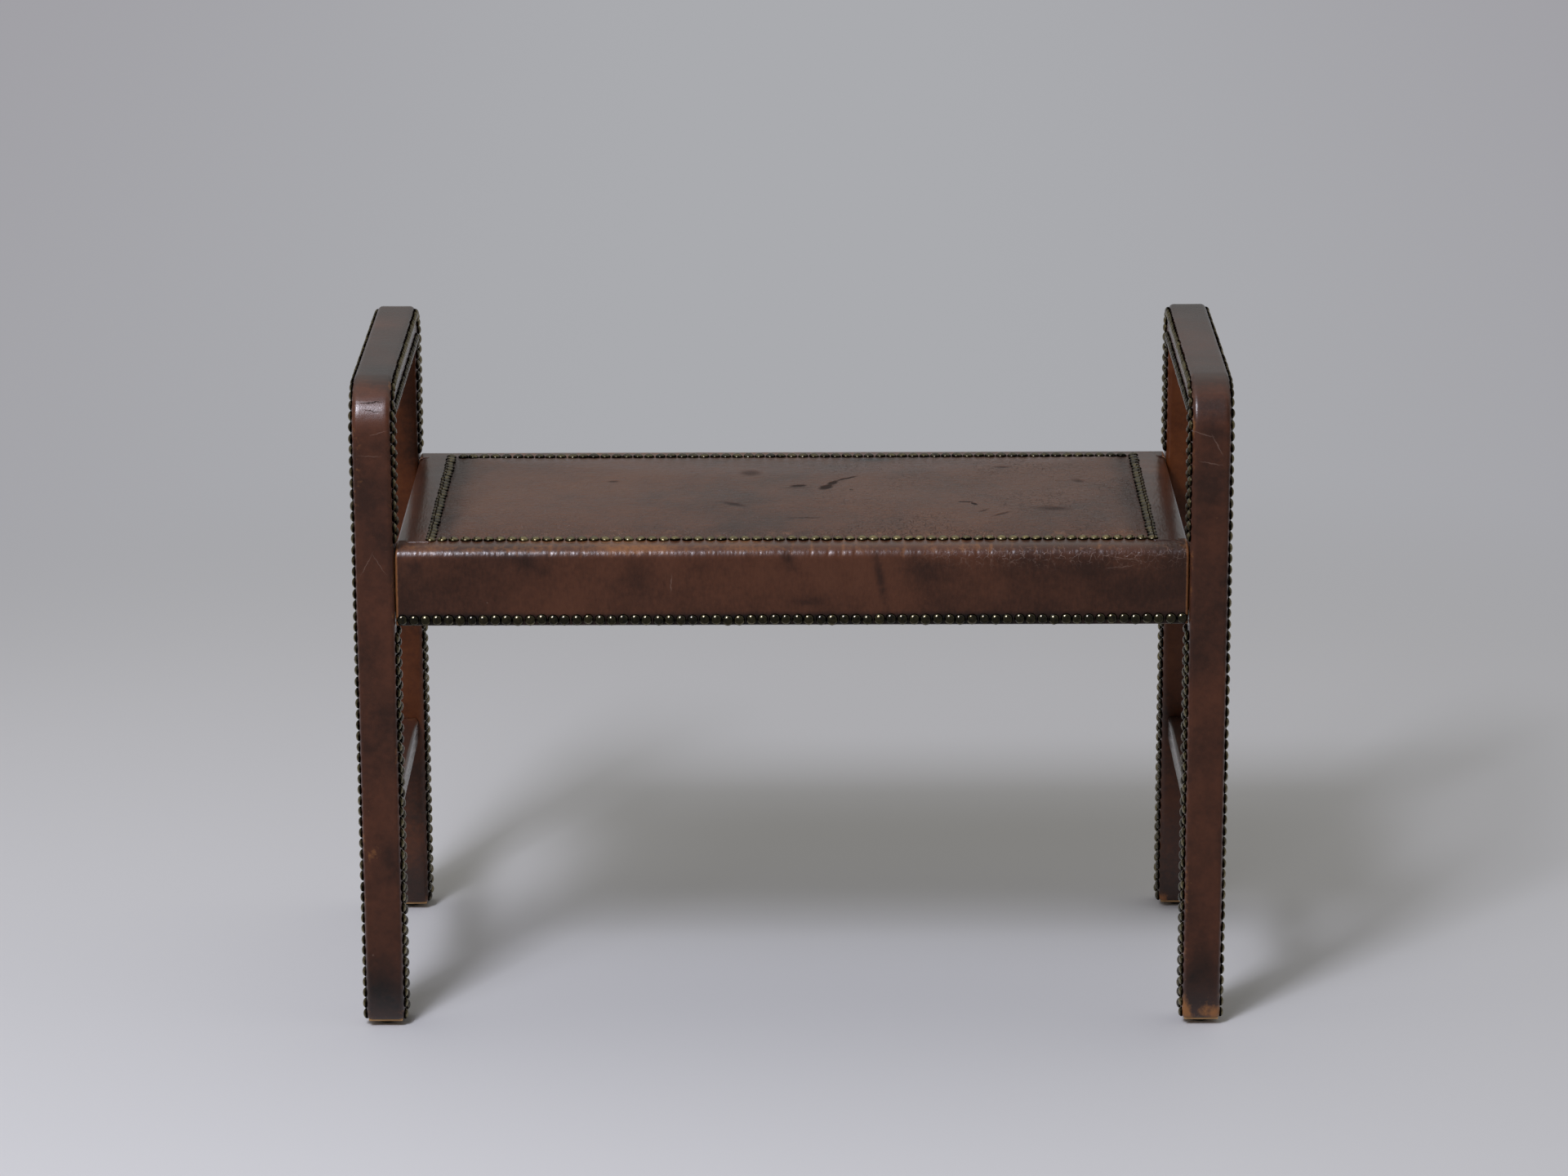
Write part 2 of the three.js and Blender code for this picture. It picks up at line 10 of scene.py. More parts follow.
import bpy
import numpy as np
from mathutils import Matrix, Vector


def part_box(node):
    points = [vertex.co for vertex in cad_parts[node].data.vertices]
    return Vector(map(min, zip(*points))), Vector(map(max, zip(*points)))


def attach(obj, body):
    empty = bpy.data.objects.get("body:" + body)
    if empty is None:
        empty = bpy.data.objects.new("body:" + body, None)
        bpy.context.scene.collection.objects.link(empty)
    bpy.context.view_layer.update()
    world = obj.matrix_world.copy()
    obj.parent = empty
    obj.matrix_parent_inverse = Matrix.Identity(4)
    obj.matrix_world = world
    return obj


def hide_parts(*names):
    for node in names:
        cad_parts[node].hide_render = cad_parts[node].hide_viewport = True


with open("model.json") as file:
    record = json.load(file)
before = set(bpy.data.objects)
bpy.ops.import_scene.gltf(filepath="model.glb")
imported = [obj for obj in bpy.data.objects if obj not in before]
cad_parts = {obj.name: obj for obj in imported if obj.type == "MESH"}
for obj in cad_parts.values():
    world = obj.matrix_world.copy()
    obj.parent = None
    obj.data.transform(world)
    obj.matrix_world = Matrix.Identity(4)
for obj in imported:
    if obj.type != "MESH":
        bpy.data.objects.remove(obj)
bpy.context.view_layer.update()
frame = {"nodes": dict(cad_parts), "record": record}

# %% [markdown]
# Blender measures in metres, and a maker measures in millimetres. The arrays below are in millimetres until a mesh
# is made, so that a radius or a nail pitch reads as it would on the bench.

# %% Sizes that the frame gives, in millimetres
MM = 0.001
# How far a binding is turned down on a face, how thick the leather is, and how far a nail's dome stands out
WRAP_RETURN = 10
LEATHER = 1.5
NAIL_STANDOFF = 3.3
# The gap between the seat's leather and the legs
SEAT_GAP = 0.6
SIDES = ((-1, "left"), (1, "right"))
ENDS = ((-1, "front"), (1, "rear"))


def corners(node):
    """Lowest and highest corner of a CAD node, in millimetres."""
    low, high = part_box(node)
    return np.array(low) / MM, np.array(high) / MM


wrap_low, wrap_high = corners("right_outer_wrap")
lining_high = corners("right_inner_wrap")[1]
sleeve_low, sleeve_high = corners("right_stretcher_leather")
apron_low, apron_high = corners("front_apron_leather")
panel_low, panel_high = corners("seat_panel_leather")
glide_low, glide_high = corners("right_front_glide")
cover_low, cover_high = corners("dust_cover")

frame_x = (wrap_low[0] + wrap_high[0]) / 2
half_width = (wrap_high[0] - wrap_low[0]) / 2
frame_depth, frame_top = wrap_high[1:]
foot = wrap_low[2]
opening_half, opening_top = lining_high[1:] - WRAP_RETURN
post_y = (frame_depth + opening_half) / 2
seat_top, seat_bottom = apron_high[2], apron_low[2]
seat_depth = -apron_low[1]
seat_half = frame_x - half_width - SEAT_GAP
nail_line_x = corners("right_end_leather")[0][0]
nail_line_y = -apron_high[1]
print("frame centre", frame_x, "seat top", seat_top, "nail line", nail_line_x, nail_line_y)

# %% [markdown]
# Every new surface is a grid of points worked out at once by numpy, and then handed to Blender. These helpers turn
# arrays into a mesh and make a piece ride on the stool's one body.


# %% Arrays into meshes
def points_at(*axes):
    """Points from one array or number for each axis, spread out to one common shape."""
    return np.stack(np.broadcast_arrays(*axes), axis=-1)


def unit(vectors):
    """Vectors divided by their length."""
    return vectors / np.linalg.norm(vectors, axis=-1, keepdims=True)


def grid_faces(rows, columns, wrap=False):
    """Quads of a grid numbered row by row. With wrap, the last column joins the first."""
    across = np.arange(columns if wrap else columns - 1)
    down = np.arange(rows - 1)[:, None]
    right = (across + 1) % columns
    quads = [down * columns + across, down * columns + right]
    quads += [(down + 1) * columns + right, (down + 1) * columns + across]
    return np.stack(quads, axis=-1).reshape(-1, 4)


def cap_faces(columns):
    """Quads across a loop with an even number of points, from its two ends to its middle."""
    near = np.arange(columns // 2 - 1)
    return np.stack([near, near + 1, columns - 2 - near, columns - 1 - near], axis=-1)


def mesh_of(name, points, faces, sharp=False):
    """A mesh from points in millimetres and rows of corner numbers that all have one length."""
    mesh = bpy.data.meshes.new(name)
    mesh.vertices.add(points.size // 3)
    mesh.vertices.foreach_set("co", (points * MM).astype(np.float32).ravel())
    mesh.loops.add(faces.size)
    mesh.loops.foreach_set("vertex_index", faces.astype(np.int32).ravel())
    mesh.polygons.add(len(faces))
    mesh.polygons.foreach_set("loop_start", np.arange(0, faces.size, faces.shape[1], dtype=np.int32))
    mesh.polygons.foreach_set("use_smooth", np.full(len(faces), not sharp))
    mesh.update(calc_edges=True)
    return mesh


def slab(name, top, under):
    """A closed sheet: a grid of points for its top, another for its underside, and four walls between them."""
    rows, columns = top.shape[:2]
    count = rows * columns
    upper = grid_faces(rows, columns)
    number = np.arange(count).reshape(rows, columns)
    rim = np.concatenate([number[0, :-1], number[:-1, -1], number[-1, :0:-1], number[:0:-1, 0]])
    following = np.roll(rim, -1)
    walls = np.stack([rim, rim + count, following + count, following], axis=-1)
    return mesh_of(name, np.concatenate([top, under]), np.concatenate([upper, (upper + count)[:, ::-1], walls]))


def positions(mesh):
    """The points of a mesh, in millimetres."""
    flat = np.empty(len(mesh.vertices) * 3, np.float32)
    mesh.vertices.foreach_get("co", flat)
    return flat.reshape(-1, 3).astype(float) / MM


def move_points(mesh, points):
    """Puts the points of a mesh at places in millimetres."""
    mesh.vertices.foreach_set("co", (points * MM).astype(np.float32).ravel())
    mesh.update()


def paint(mesh, name, values):
    """Stores one number for each point, for a material to read. A single value stands for them all."""
    attribute = mesh.attributes.new(name, "FLOAT", "POINT")
    spread = np.broadcast_to(np.ravel(values), len(mesh.vertices))
    attribute.data.foreach_set("value", np.clip(spread, 0, 1).astype(np.float32))


def in_scene(name, data):
    """A new object for a mesh, a lamp or a camera, put into the scene."""
    thing = bpy.data.objects.new(name, data)
    bpy.context.scene.collection.objects.link(thing)
    return thing


def piece_of(mesh, material, slot, *nodes):
    """An object that rides on the stool, takes a finish, and stands for the CAD nodes named."""
    piece = in_scene(mesh.name, mesh)
    mesh.materials.append(material)
    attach(piece, "root")
    if nodes:
        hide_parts(*nodes)
    print(piece.name, len(mesh.polygons), "faces")
    return piece


# %% [markdown]
# Old leather is never quite flat. A few plane waves of random direction, added up, give a smooth uneven field that
# is the same on every run. It moves surfaces by fractions of a millimetre and mottles their stains.


# %% Smooth unevenness
def unevenness(points, wavelength, seed, waves=9):
    """Sum of plane waves cos(k.p + phase), with |k| near 2 pi / wavelength, scaled to about -1 to 1."""
    rng = np.random.default_rng(seed)
    direction = unit(rng.normal(size=(waves, 3)))
    stretch = rng.uniform(0.6, 1.6, waves)
    phase = rng.uniform(0, 2 * math.pi, waves)
    turns = points @ (direction * (2 * math.pi / wavelength * stretch)[:, None]).T
    return np.cos(turns + phase).sum(axis=-1) / math.sqrt(waves * 2)


def soft_step(value, start, end):
    """0 before start, 1 after end, and 3t^2 - 2t^3 between them."""
    t = np.clip((value - start) / (end - start), 0, 1)
    return t * t * (3 - 2 * t)


def bump_at(value, middle, spread):
    """A bell curve exp(-((value - middle) / spread)^2)."""
    return np.exp(-((value - middle) / spread) ** 2)


def blots(points, marks):
    """Sum of strength x exp(-(u / w)^2 - (v / h)^2) over marks given as x, z, w, h, slant and strength, where v is
    the height over z, and u the distance along X from x + slant times v, to the other side."""
    along, height = points[..., 0], points[..., 2]
    return sum(strength * bump_at(along + slant * (height - z), x, w) * bump_at(height, z, h)
               for x, z, w, h, slant, strength in marks)


# %% [markdown]
# The finishes come before the pieces, because each piece is given its material as it is made. Colours are written
# as the sRGB hex values that a paint program shows, and one function turns them to the linear light that Blender
# mixes.

# %% Colours and nodes
# Settings of a Mix node that blends two colours
COLOUR_MIX = {"out": "Result", "data_type": "RGBA"}
# Settings of a MapRange node that eases in and out
EASED = {"interpolation_type": "SMOOTHSTEP"}


def linear(code):
    """An sRGB hex colour as linear red, green, blue and an alpha of 1."""
    levels = [int(code[i:i + 2], 16) / 255 for i in (1, 3, 5)]
    return [c / 12.92 if c <= 0.04045 else ((c + 0.055) / 1.055) ** 2.4 for c in levels] + [1.0]


def add(tree, kind, inputs=None, out=0, stops=(), **settings):
    """Adds a shader node, sets it up, gives each named input a value or a link from another node's socket, and
    returns its output socket out. stops are the places and hex colours of a colour ramp."""
    node = tree.nodes.new("ShaderNode" + kind)
    for key, value in settings.items():
        setattr(node, key, value)
    for key, value in (inputs or {}).items():
        if isinstance(value, bpy.types.NodeSocket):
            tree.links.new(value, node.inputs[key])
        else:
            node.inputs[key].default_value = value
    if stops:
        while len(node.color_ramp.elements) < len(stops):
            node.color_ramp.elements.new(0.5)
        for element, (position, code) in zip(node.color_ramp.elements, stops):
            element.position = position
            element.color = linear(code)
    return node.outputs[out] if node.outputs else None


def weighted_sum(tree, start, *terms, clamp=False):
    """start plus each field times its share. With clamp, the sum is kept between 0 and 1."""
    for field, share in terms:
        last = clamp and field is terms[-1][0]
        start = add(tree, "Math", {0: field, 1: share, 2: start}, operation="MULTIPLY_ADD", use_clamp=last)
    return start


def new_material(name):
    """A material with an empty node tree."""
    material = bpy.data.materials.new(name)
    material.use_nodes = True
    material.node_tree.nodes.clear()
    print("material", name)
    return material, material.node_tree


# %% [markdown]
# Small marks have crisp outlines that no mesh of this size could hold, so they are drawn in the finish. Each mark
# is an ellipsoid. Its place is moved, turned and divided by its half lengths, which makes it a ball of radius 1,
# and the distance from the ball's centre says what lies inside. A little noise added to the place frays the
# outline.


# %% Marks on the leather
def frayed(tree, place, fineness, reach):
    """The place moved by up to half of reach, in millimetres, by a noise that repeats fineness times in a metre."""
    noise = add(tree, "TexNoise", {"Vector": place, "Scale": fineness, "Detail": 3.0}, out="Color")
    centred = add(tree, "VectorMath", {0: noise, 1: (-0.5, -0.5, -0.5)}, operation="ADD")
    return add(tree, "VectorMath", {0: centred, 1: (reach * MM,) * 3, 2: place}, operation="MULTIPLY_ADD")


def inside_marks(tree, place, marks, blur=0.2):
    """1 inside any mark and 0 outside. A mark is its centre, its half lengths and its turn about X, Y and Z. The
    change spreads over a share blur of the half lengths, on both sides of the outline."""
    nearest = None
    for centre, halves, turn in marks:
        ball = add(tree, "Mapping", {
            "Vector": place, "Location": [c * MM for c in centre], "Rotation": [math.radians(a) for a in turn],
            "Scale": [h * MM for h in halves]}, vector_type="TEXTURE")
        away = add(tree, "VectorMath", {0: ball}, out="Value", operation="LENGTH")
        if nearest is not None:
            away = add(tree, "Math", {0: away, 1: nearest}, operation="MINIMUM")
        nearest = away
    return add(tree, "MapRange", {"Value": nearest, "From Min": 1 + blur, "From Max": 1 - blur})


# %% [markdown]
# Bridle leather is cow hide that is dyed through, filled with wax and polished. Decades of hands leave a deep
# glossy brown with soft clouds of darker dye, fine lighter scratches, and tan patches where the wax and the dye
# have rubbed off along edges. Layered noise at the real sizes of those marks gives the colour: clouds of 140 mm,
# mottling of 25 mm and grain of 4 mm. Attributes say where a piece is rubbed (worn), crackled (crazed) or
# darkened, by stains and in a few places by painted shade. The polish is a thin wax coat over a duller hide, so
# the gloss has a sharp middle and a wide soft edge.

# %% Waxed bridle leather
# Clouds, mottling, grain, flecks of 5 mm and pores. A scale is how many of them fit in a metre
LEATHER_NOISES = [{"Scale": 7.0, "Detail": 3.0}, {"Scale": 40.0, "Detail": 6.0, "Roughness": 0.62},
                  {"Scale": 240.0, "Detail": 4.0, "Roughness": 0.6},
                  {"Scale": 190.0, "Detail": 6.0, "Roughness": 0.7}, {"Scale": 800.0, "Detail": 2.0}]
# How much the clouds, the mottling, the grain and the wrinkles change the dye, and how much stains and painted
# shade darken it
DYE_SHARES = (0.80, 0.26, 0.26, 0.20)
STAIN_AND_SHADE_SHARE = -0.24
# Cells of crackled finish in a metre, and the span of distances from a border that a crack covers
CRAZE_CELLS = 210.0
CRACK_EDGE = 0.07
BARE_FIBRE = "#957a6c"
SCUFF_GREY = "#211d1d"
# Leather is near 1.5. Matched to the photograph, the dry hide under its wax reflects less than that
HIDE_IOR = 1.38
WAX_IOR = 1.5
WAX_ROUGHNESS = 0.23


def bridle_leather(name, dyes, roughness, wax, wrinkles, mottling, relief_mm, seed=0.0, cuts=(), scuffs=(),
                   scratches=()):
    """Dyed and waxed hide. dyes run from the darkest stain to bare rubbed leather. wax is the weight of the
    polished coat. wrinkles gives, for X, Y and Z, how many fine wrinkles there are in a metre. mottling scales the
    changes of colour, and relief_mm the height of the grain. cuts are dark, scuffs are grey and scratches are
    pale."""
    material, tree = new_material(name)
    place = add(tree, "TexCoord", out="Object")
    shifted = add(tree, "Mapping", {"Vector": place, "Location": (seed, seed, seed)})
    cloud, mottle, grain, fleck, pores = [
        add(tree, "TexNoise", {"Vector": shifted, **pattern}) for pattern in LEATHER_NOISES]
    drawn = add(tree, "Mapping", {"Vector": shifted, "Scale": wrinkles})
    wrinkle = add(tree, "TexNoise", {"Vector": drawn, "Scale": 1.0, "Detail": 3.0})
    worn, stain_and_shade, crazed = [
        add(tree, "Attribute", out="Fac", attribute_name=mark) for mark in ("worn", "stain_and_shade", "crazed")]

    # Dye: a sum of the noises about the middle of the ramp, less the stains and the painted shade
    shares = [share * mottling for share in DYE_SHARES]
    level = weighted_sum(tree, 0.5 - sum(shares) / 2, *zip((cloud, mottle, grain, wrinkle), shares),
                         (stain_and_shade, STAIN_AND_SHADE_SHARE))
    colour = add(tree, "ValToRGB", {"Fac": level}, stops=dyes)

    # Rubbing: the worn attribute broken up by fine noise, so that it shows as flecks with crisp edges
    rubbed = weighted_sum(tree, fleck, (worn, 0.7))
    rubbed = add(tree, "MapRange", {"Value": rubbed, "From Min": 0.66, "From Max": 1.05})

    # Crazing: thin borders between warped cells of 5 mm, where the finish has crackled
    border = add(tree, "TexVoronoi", {"Vector": frayed(tree, shifted, 90.0, 9.0), "Scale": CRAZE_CELLS},
                 feature="DISTANCE_TO_EDGE")
    crack = add(tree, "MapRange", {"Value": border, "From Min": CRACK_EDGE, "From Max": 0.0})
    broken = add(tree, "MapRange", {"Value": fleck, "From Min": 0.46, "From Max": 0.56})
    for field in (broken, crazed):
        crack = add(tree, "Math", {0: crack, 1: field}, operation="MULTIPLY")

    # Cracks and scratches show pale fibre, greyed by dust
    edge = frayed(tree, place, 260.0, 3.0)
    pale = [(crack, 0.55)]
    if scratches:
        pale.append((inside_marks(tree, edge, scratches, 0.4), 0.3))
    layers = [(rubbed, dyes[-1][1]), (weighted_sum(tree, 0.0, *pale), BARE_FIBRE)]

    # Cuts and scuffs: bare fibre, darkened by dirt or greyed by dust
    torn = crack
    for marks, tone, strength, blur in ((cuts, dyes[0][1], 0.85, 0.25), (scuffs, SCUFF_GREY, 0.6, 0.5)):
        if marks:
            mask = weighted_sum(tree, 0.0, (inside_marks(tree, edge, marks, blur), strength))
            layers.append((mask, tone))
            torn = add(tree, "Math", {0: mask, 1: torn}, operation="MAXIMUM")
    for mask, tone in layers:
        colour = add(tree, "Mix", {"Factor": mask, "A": colour, "B": linear(tone)}, **COLOUR_MIX)

    # Gloss: duller where rubbed, and dull where torn, because a torn fibre side can't shine
    gloss = weighted_sum(tree, roughness - 0.08, (mottle, 0.16), (grain, 0.10), (rubbed, 0.05), (torn, 0.5))
    dull = weighted_sum(tree, torn, (rubbed, 0.3), clamp=True)
    coat = weighted_sum(tree, wax, (dull, -wax))

    # Relief in tenths of a millimetre: pores, a soft swell, fine wrinkles, grain and the torn places
    relief = weighted_sum(tree, pores, (mottle, 3.0), (wrinkle, 2.6), (grain, 1.4), (torn, -2.5))
    bump = add(tree, "Bump", {"Height": relief, "Strength": 1.0, "Distance": relief_mm * MM})
    shader = add(tree, "BsdfPrincipled", {
        "Base Color": colour, "Roughness": gloss, "IOR": HIDE_IOR, "Normal": bump, "Coat Weight": coat,
        "Coat Roughness": WAX_ROUGHNESS, "Coat IOR": WAX_IOR, "Coat Normal": bump})
    add(tree, "OutputMaterial", {"Surface": shader})
    return material


# %% [markdown]
# Four hides were used. The frames and the linings of their openings are one skin, but the linings have kept more
# of their orange, because nobody touches them. The seat's border is the darkest and the glossiest, and the panel
# is the most worn. The marks are given in millimetres from the middle of the floor under the stool.

# %% The four hides and their marks
# Each dye is a place on the ramp and a colour
FRAME_DYES = [(0.20, "#140b09"), (0.38, "#3b1e11"), (0.50, "#552c18"), (0.66, "#66371d"), (1.0, "#94602f")]
LINING_DYES = [(0.20, "#150b06"), (0.38, "#361a09"), (0.50, "#55290d"), (0.66, "#6a3713"), (1.0, "#8f5a30")]
APRON_DYES = [(0.20, "#130b0a"), (0.38, "#3d2115"), (0.50, "#58311e"), (0.66, "#693d26"), (1.0, "#8a5a34")]
SEAT_DYES = [(0.20, "#170d08"), (0.38, "#45281a"), (0.50, "#613821"), (0.66, "#724528"), (1.0, "#966a4c")]


def seat_marks(*rows):
    """Marks that go down through the panel, from rows of x, y, z, half lengths along X and Y, and turn about Z."""
    return [((x, y, z), (long, wide, 40), (0, 0, turn)) for x, y, z, long, wide, turn in rows]


def front_marks(*rows):
    """Marks on the front, from rows of x, y, z, half lengths along X, Y and Z, and turn about Y."""
    return [((x, y, z), (long, deep, high), (0, turn, 0)) for x, y, z, long, deep, high, turn in rows]


PANEL_CUTS = seat_marks(
    (6, 5, 441, 7.1, 3.6, 16), (30, 0, 441, 9.5, 5.0, 65), (36, 15, 441, 9.1, 3.3, 64),
    (48, 31, 441, 12.8, 1.8, 42), (152, -47, 440, 6.4, 1.6, 3), (159, -53, 439, 4.1, 1.8, -66),
    (52, -9, 441, 1.8, 1.6, 2), (2, -2, 441, 12.6, 0.6, 1), (11, -92, 439, 14.1, 0.6, 1))
PANEL_SCUFFS = seat_marks(
    (-37, 53, 440, 8.4, 10.5, 0), (-51, -55, 440, 10.9, 3.4, -31), (-158, 27, 440, 4.5, 3.0, 0),
    (188, 76, 439, 7.0, 3.6, 0), (254, 32, 438, 4.7, 4.6, 0), (227, -65, 438, 13.5, 6.4, 0),
    (182, -83, 438, 10.4, 1.4, 40), (167, -73, 439, 5.4, 1.4, 47))
APRON_SCRATCHES = front_marks(
    (-103, -169, 401, 0.4, 9, 7, 3), (-260, -169, 384, 0.7, 9, 0.6, 0), (286, -169, 421, 13, 9, 0.3, 9),
    (280, -169, 414, 11, 9, 0.3, -7))
FRAME_CUTS = front_marks((-354, -163, 558.6, 9, 12, 0.4, -3), (-354, -167, 552, 8, 12, 0.25, 6))
FRAME_SCRATCHES = front_marks(
    (-349, -173, 534, 7, 8, 0.3, -16), (-357, -173, 514, 9, 8, 0.3, 2), (-351, -173, 419, 10, 8, 0.3, 59),
    (-362, -173, 419, 10, 8, 0.3, -61), (-365, -173, 67, 0.8, 8, 0.8, 0), (347, -173, 531.6, 9, 12, 0.5, 14),
    (360, -173, 522, 9, 12, 0.5, 62), (355, -173, 506, 9, 12, 0.4, 11))

frame_leather = bridle_leather(
    "waxed_bridle_leather", FRAME_DYES, roughness=0.48, wax=0.95, wrinkles=(60.0, 420.0, 90.0), mottling=0.6,
    relief_mm=0.045, cuts=FRAME_CUTS, scratches=FRAME_SCRATCHES)
lining_leather = bridle_leather(
    "waxed_lining_leather", LINING_DYES, roughness=0.42, wax=0.5, wrinkles=(60.0, 300.0, 90.0), mottling=0.8,
    relief_mm=0.06, seed=5.3)
apron_leather = bridle_leather(
    "waxed_seat_border_leather", APRON_DYES, roughness=0.36, wax=0.95, wrinkles=(420.0, 90.0, 150.0),
    mottling=0.55, relief_mm=0.07, seed=3.7, scratches=APRON_SCRATCHES)
seat_leather = bridle_leather(
    "worn_seat_leather", SEAT_DYES, roughness=0.42, wax=0.90, wrinkles=(130.0, 380.0, 90.0), mottling=0.7,
    relief_mm=0.75, seed=8.1, cuts=PANEL_CUTS, scuffs=PANEL_SCUFFS)

# %% [markdown]
# The nails are brass over steel, blackened in use: dark olive metal with a few brighter crowns where cloths rub. A
# metal shows only what it reflects, so the base colour is dark and the gloss is sharp, under a thin film of wax.
# Each nail carries a random tone of its own. Its rim is darkened where the attribute crown falls to 0, partly by
# wax and dust gathered there and partly by painted shade, for the shadows and dark reflections between touching
# heads.

# %% Antique brass and dull steel
# Dark colour at a nail's rim: wax and dust, and painted shade between touching heads
RIM_DIRT_AND_SHADE = "#0e0b08"
METAL_EDGE_TINT = (0.40, 0.37, 0.33, 1.0)


def old_metal(name, dark, bright, roughness):
    """A metal with a patina: dark and bright colours mixed by each nail's own tone and by fine spots."""
    material, tree = new_material(name)
    place = add(tree, "TexCoord", out="Object")
    spots = add(tree, "TexNoise", {"Vector": place, "Scale": 420.0, "Detail": 3.0})
    tone, crown = [add(tree, "Attribute", out="Fac", attribute_name=mark) for mark in ("tone", "crown")]
    amount = weighted_sum(tree, -0.35, (spots, 0.8), (tone, 0.8), clamp=True)
    colour = add(tree, "Mix", {"Factor": amount, "A": linear(dark), "B": linear(bright)}, **COLOUR_MIX)
    # Towards the rim the colour darkens: dirt, and painted shade between the heads
    clean_unshaded = add(tree, "MapRange", {"Value": crown, "From Min": 0.24, "From Max": 0.66})
    colour = add(tree, "Mix", {"Factor": clean_unshaded, "A": linear(RIM_DIRT_AND_SHADE), "B": colour}, **COLOUR_MIX)
    gloss = weighted_sum(tree, roughness + 0.13, (spots, 0.14), (clean_unshaded, -0.2), (tone, 0.22))
    bump = add(tree, "Bump", {"Height": spots, "Strength": 0.15, "Distance": 0.0004})
    shader = add(tree, "BsdfPrincipled", {
        "Base Color": colour, "Metallic": 1.0, "Roughness": gloss, "Specular Tint": METAL_EDGE_TINT,
        "Normal": bump, "Coat Weight": clean_unshaded, "Coat Roughness": 0.07, "Coat IOR": 1.6})
    add(tree, "OutputMaterial", {"Surface": shader})
    return material


nail_metal = old_metal("antique_brass", "#2e2a1f", "#b3a36c", 0.12)
glide_metal = old_metal("dull_steel", "#3b3a38", "#8a8781", 0.30)

# %% [markdown]
# Inside the stool are sawn beech, woven jute and black cotton. They show only from below or where a joint opens,
# yet each gets its own finish: annual rings stretched along the grain, and a plain weave of crossing threads.

# %% Beech, jute and cotton
# Rings in a metre, along and across the grain
BEECH_RINGS = (12.0, 120.0, 120.0)


def sawn_beech(name):
    """Pale brown wood with short dark flecks along the grain."""
    material, tree = new_material(name)
    place = add(tree, "TexCoord", out="Object")
    along = add(tree, "Mapping", {"Vector": place, "Scale": BEECH_RINGS})
    rings = add(tree, "TexNoise", {"Vector": along, "Scale": 1.0, "Detail": 4.0})
    flecks = add(tree, "TexNoise", {"Vector": along, "Scale": 6.0, "Detail": 1.0})
    mixed = weighted_sum(tree, rings, (flecks, 0.4))
    colour = add(tree, "ValToRGB", {"Fac": mixed}, stops=[(0.4, "#7d5a38"), (0.7, "#a98254"), (1.0, "#c7a274")])
    bump = add(tree, "Bump", {"Height": mixed, "Strength": 0.2, "Distance": 0.0005})
    shader = add(tree, "BsdfPrincipled", {"Base Color": colour, "Roughness": 0.7, "Normal": bump})
    add(tree, "OutputMaterial", {"Surface": shader})
    return material


def plain_weave(name, low, high, pitch_mm):
    """Threads crossing at right angles: the product of two sine waves, one thread pitch apart."""
    material, tree = new_material(name)
    place = add(tree, "TexCoord", out="Object")
    turns = 2 * math.pi / (pitch_mm * MM)
    waves = []
    for axis in ("X", "Y"):
        along = add(tree, "SeparateXYZ", {"Vector": place}, out=axis)
        angle = add(tree, "Math", {0: along, 1: turns}, operation="MULTIPLY")
        waves.append(add(tree, "Math", {0: angle}, operation="SINE"))
    crossed = add(tree, "Math", {0: waves[0], 1: waves[1]}, operation="MULTIPLY")
    level = weighted_sum(tree, 0.5, (crossed, 0.5))
    colour = add(tree, "Mix", {"Factor": level, "A": linear(low), "B": linear(high)}, **COLOUR_MIX)
    bump = add(tree, "Bump", {"Height": level, "Strength": 0.5, "Distance": 0.0004})
    shader = add(tree, "BsdfPrincipled", {"Base Color": colour, "Roughness": 0.95, "Normal": bump})
    add(tree, "OutputMaterial", {"Surface": shader})
    return material


beech = sawn_beech("sawn_beech")
jute = plain_weave("woven_jute", "#5f5033", "#a08a60", 2.4)
cotton = plain_weave("black_cotton", "#0d0d0c", "#2a2927", 1.6)

# %% [markdown]
# CAD pieces whose shape is already right keep their meshes and only take a finish. That is all the wood, the
# webbing and hessian inside the seat, and the flat strips of leather between the nail rows.

# %% Finish the CAD pieces that stay
FINISHES = {"beech": beech, "jute": jute, "frame_leather": frame_leather, "stuffing": jute}
slot_of = {part["node"]: part["material_slot"] for part in frame["record"]["subparts"]}
for node_name, node in frame["nodes"].items():
    finish = FINISHES.get(slot_of[node_name])
    if finish:
        node.data.materials.clear()
        node.data.materials.append(finish)
        print(node_name, "takes", finish.name)

# %% [markdown]
# The leather that binds a frame is a channel: a web along the edge, turned down on both faces and cut off under
# the nails. It is made by carrying one cross-section along the frame's edge. A cross-section is a list of points
# (across, inset): across is measured from the middle of the frame, and inset from its edge towards the wood.

# %% A folded strip in cross-section
# Distance between the points of a strip
STEP = 2.5


def arc(centre_u, centre_v, radius, start, end, steps):
    """Points of a circle from one angle to another, in degrees."""
    angle = np.radians(np.linspace(start, end, steps + 1))
    return points_at(centre_u + radius * np.cos(angle), centre_v + radius * np.sin(angle))


def skin(outline):
    """A closed cross-section of leather: an outline, and back along the outline moved in by the thickness."""
    return np.concatenate([outline(0), outline(LEATHER)[::-1]])


def channel(half, depth, radius):
    """A closed cross-section: down one face, round the edge, over the web, and back inside by the thickness."""
    web = np.linspace(half - radius, radius - half, int(2 * (half - radius) / STEP) + 2)[1:-1]
    down = np.linspace(depth, radius, 5)[:-1]

    def outline(shrink):
        h, r = half - shrink, max(radius - shrink, 0.4)
        return np.concatenate([
            points_at(h, down), arc(h - r, shrink + r, r, 0, -90, 6), points_at(web, shrink),
            arc(r - h, shrink + r, r, -90, -180, 6), points_at(-h, down[::-1])])
    return skin(outline)


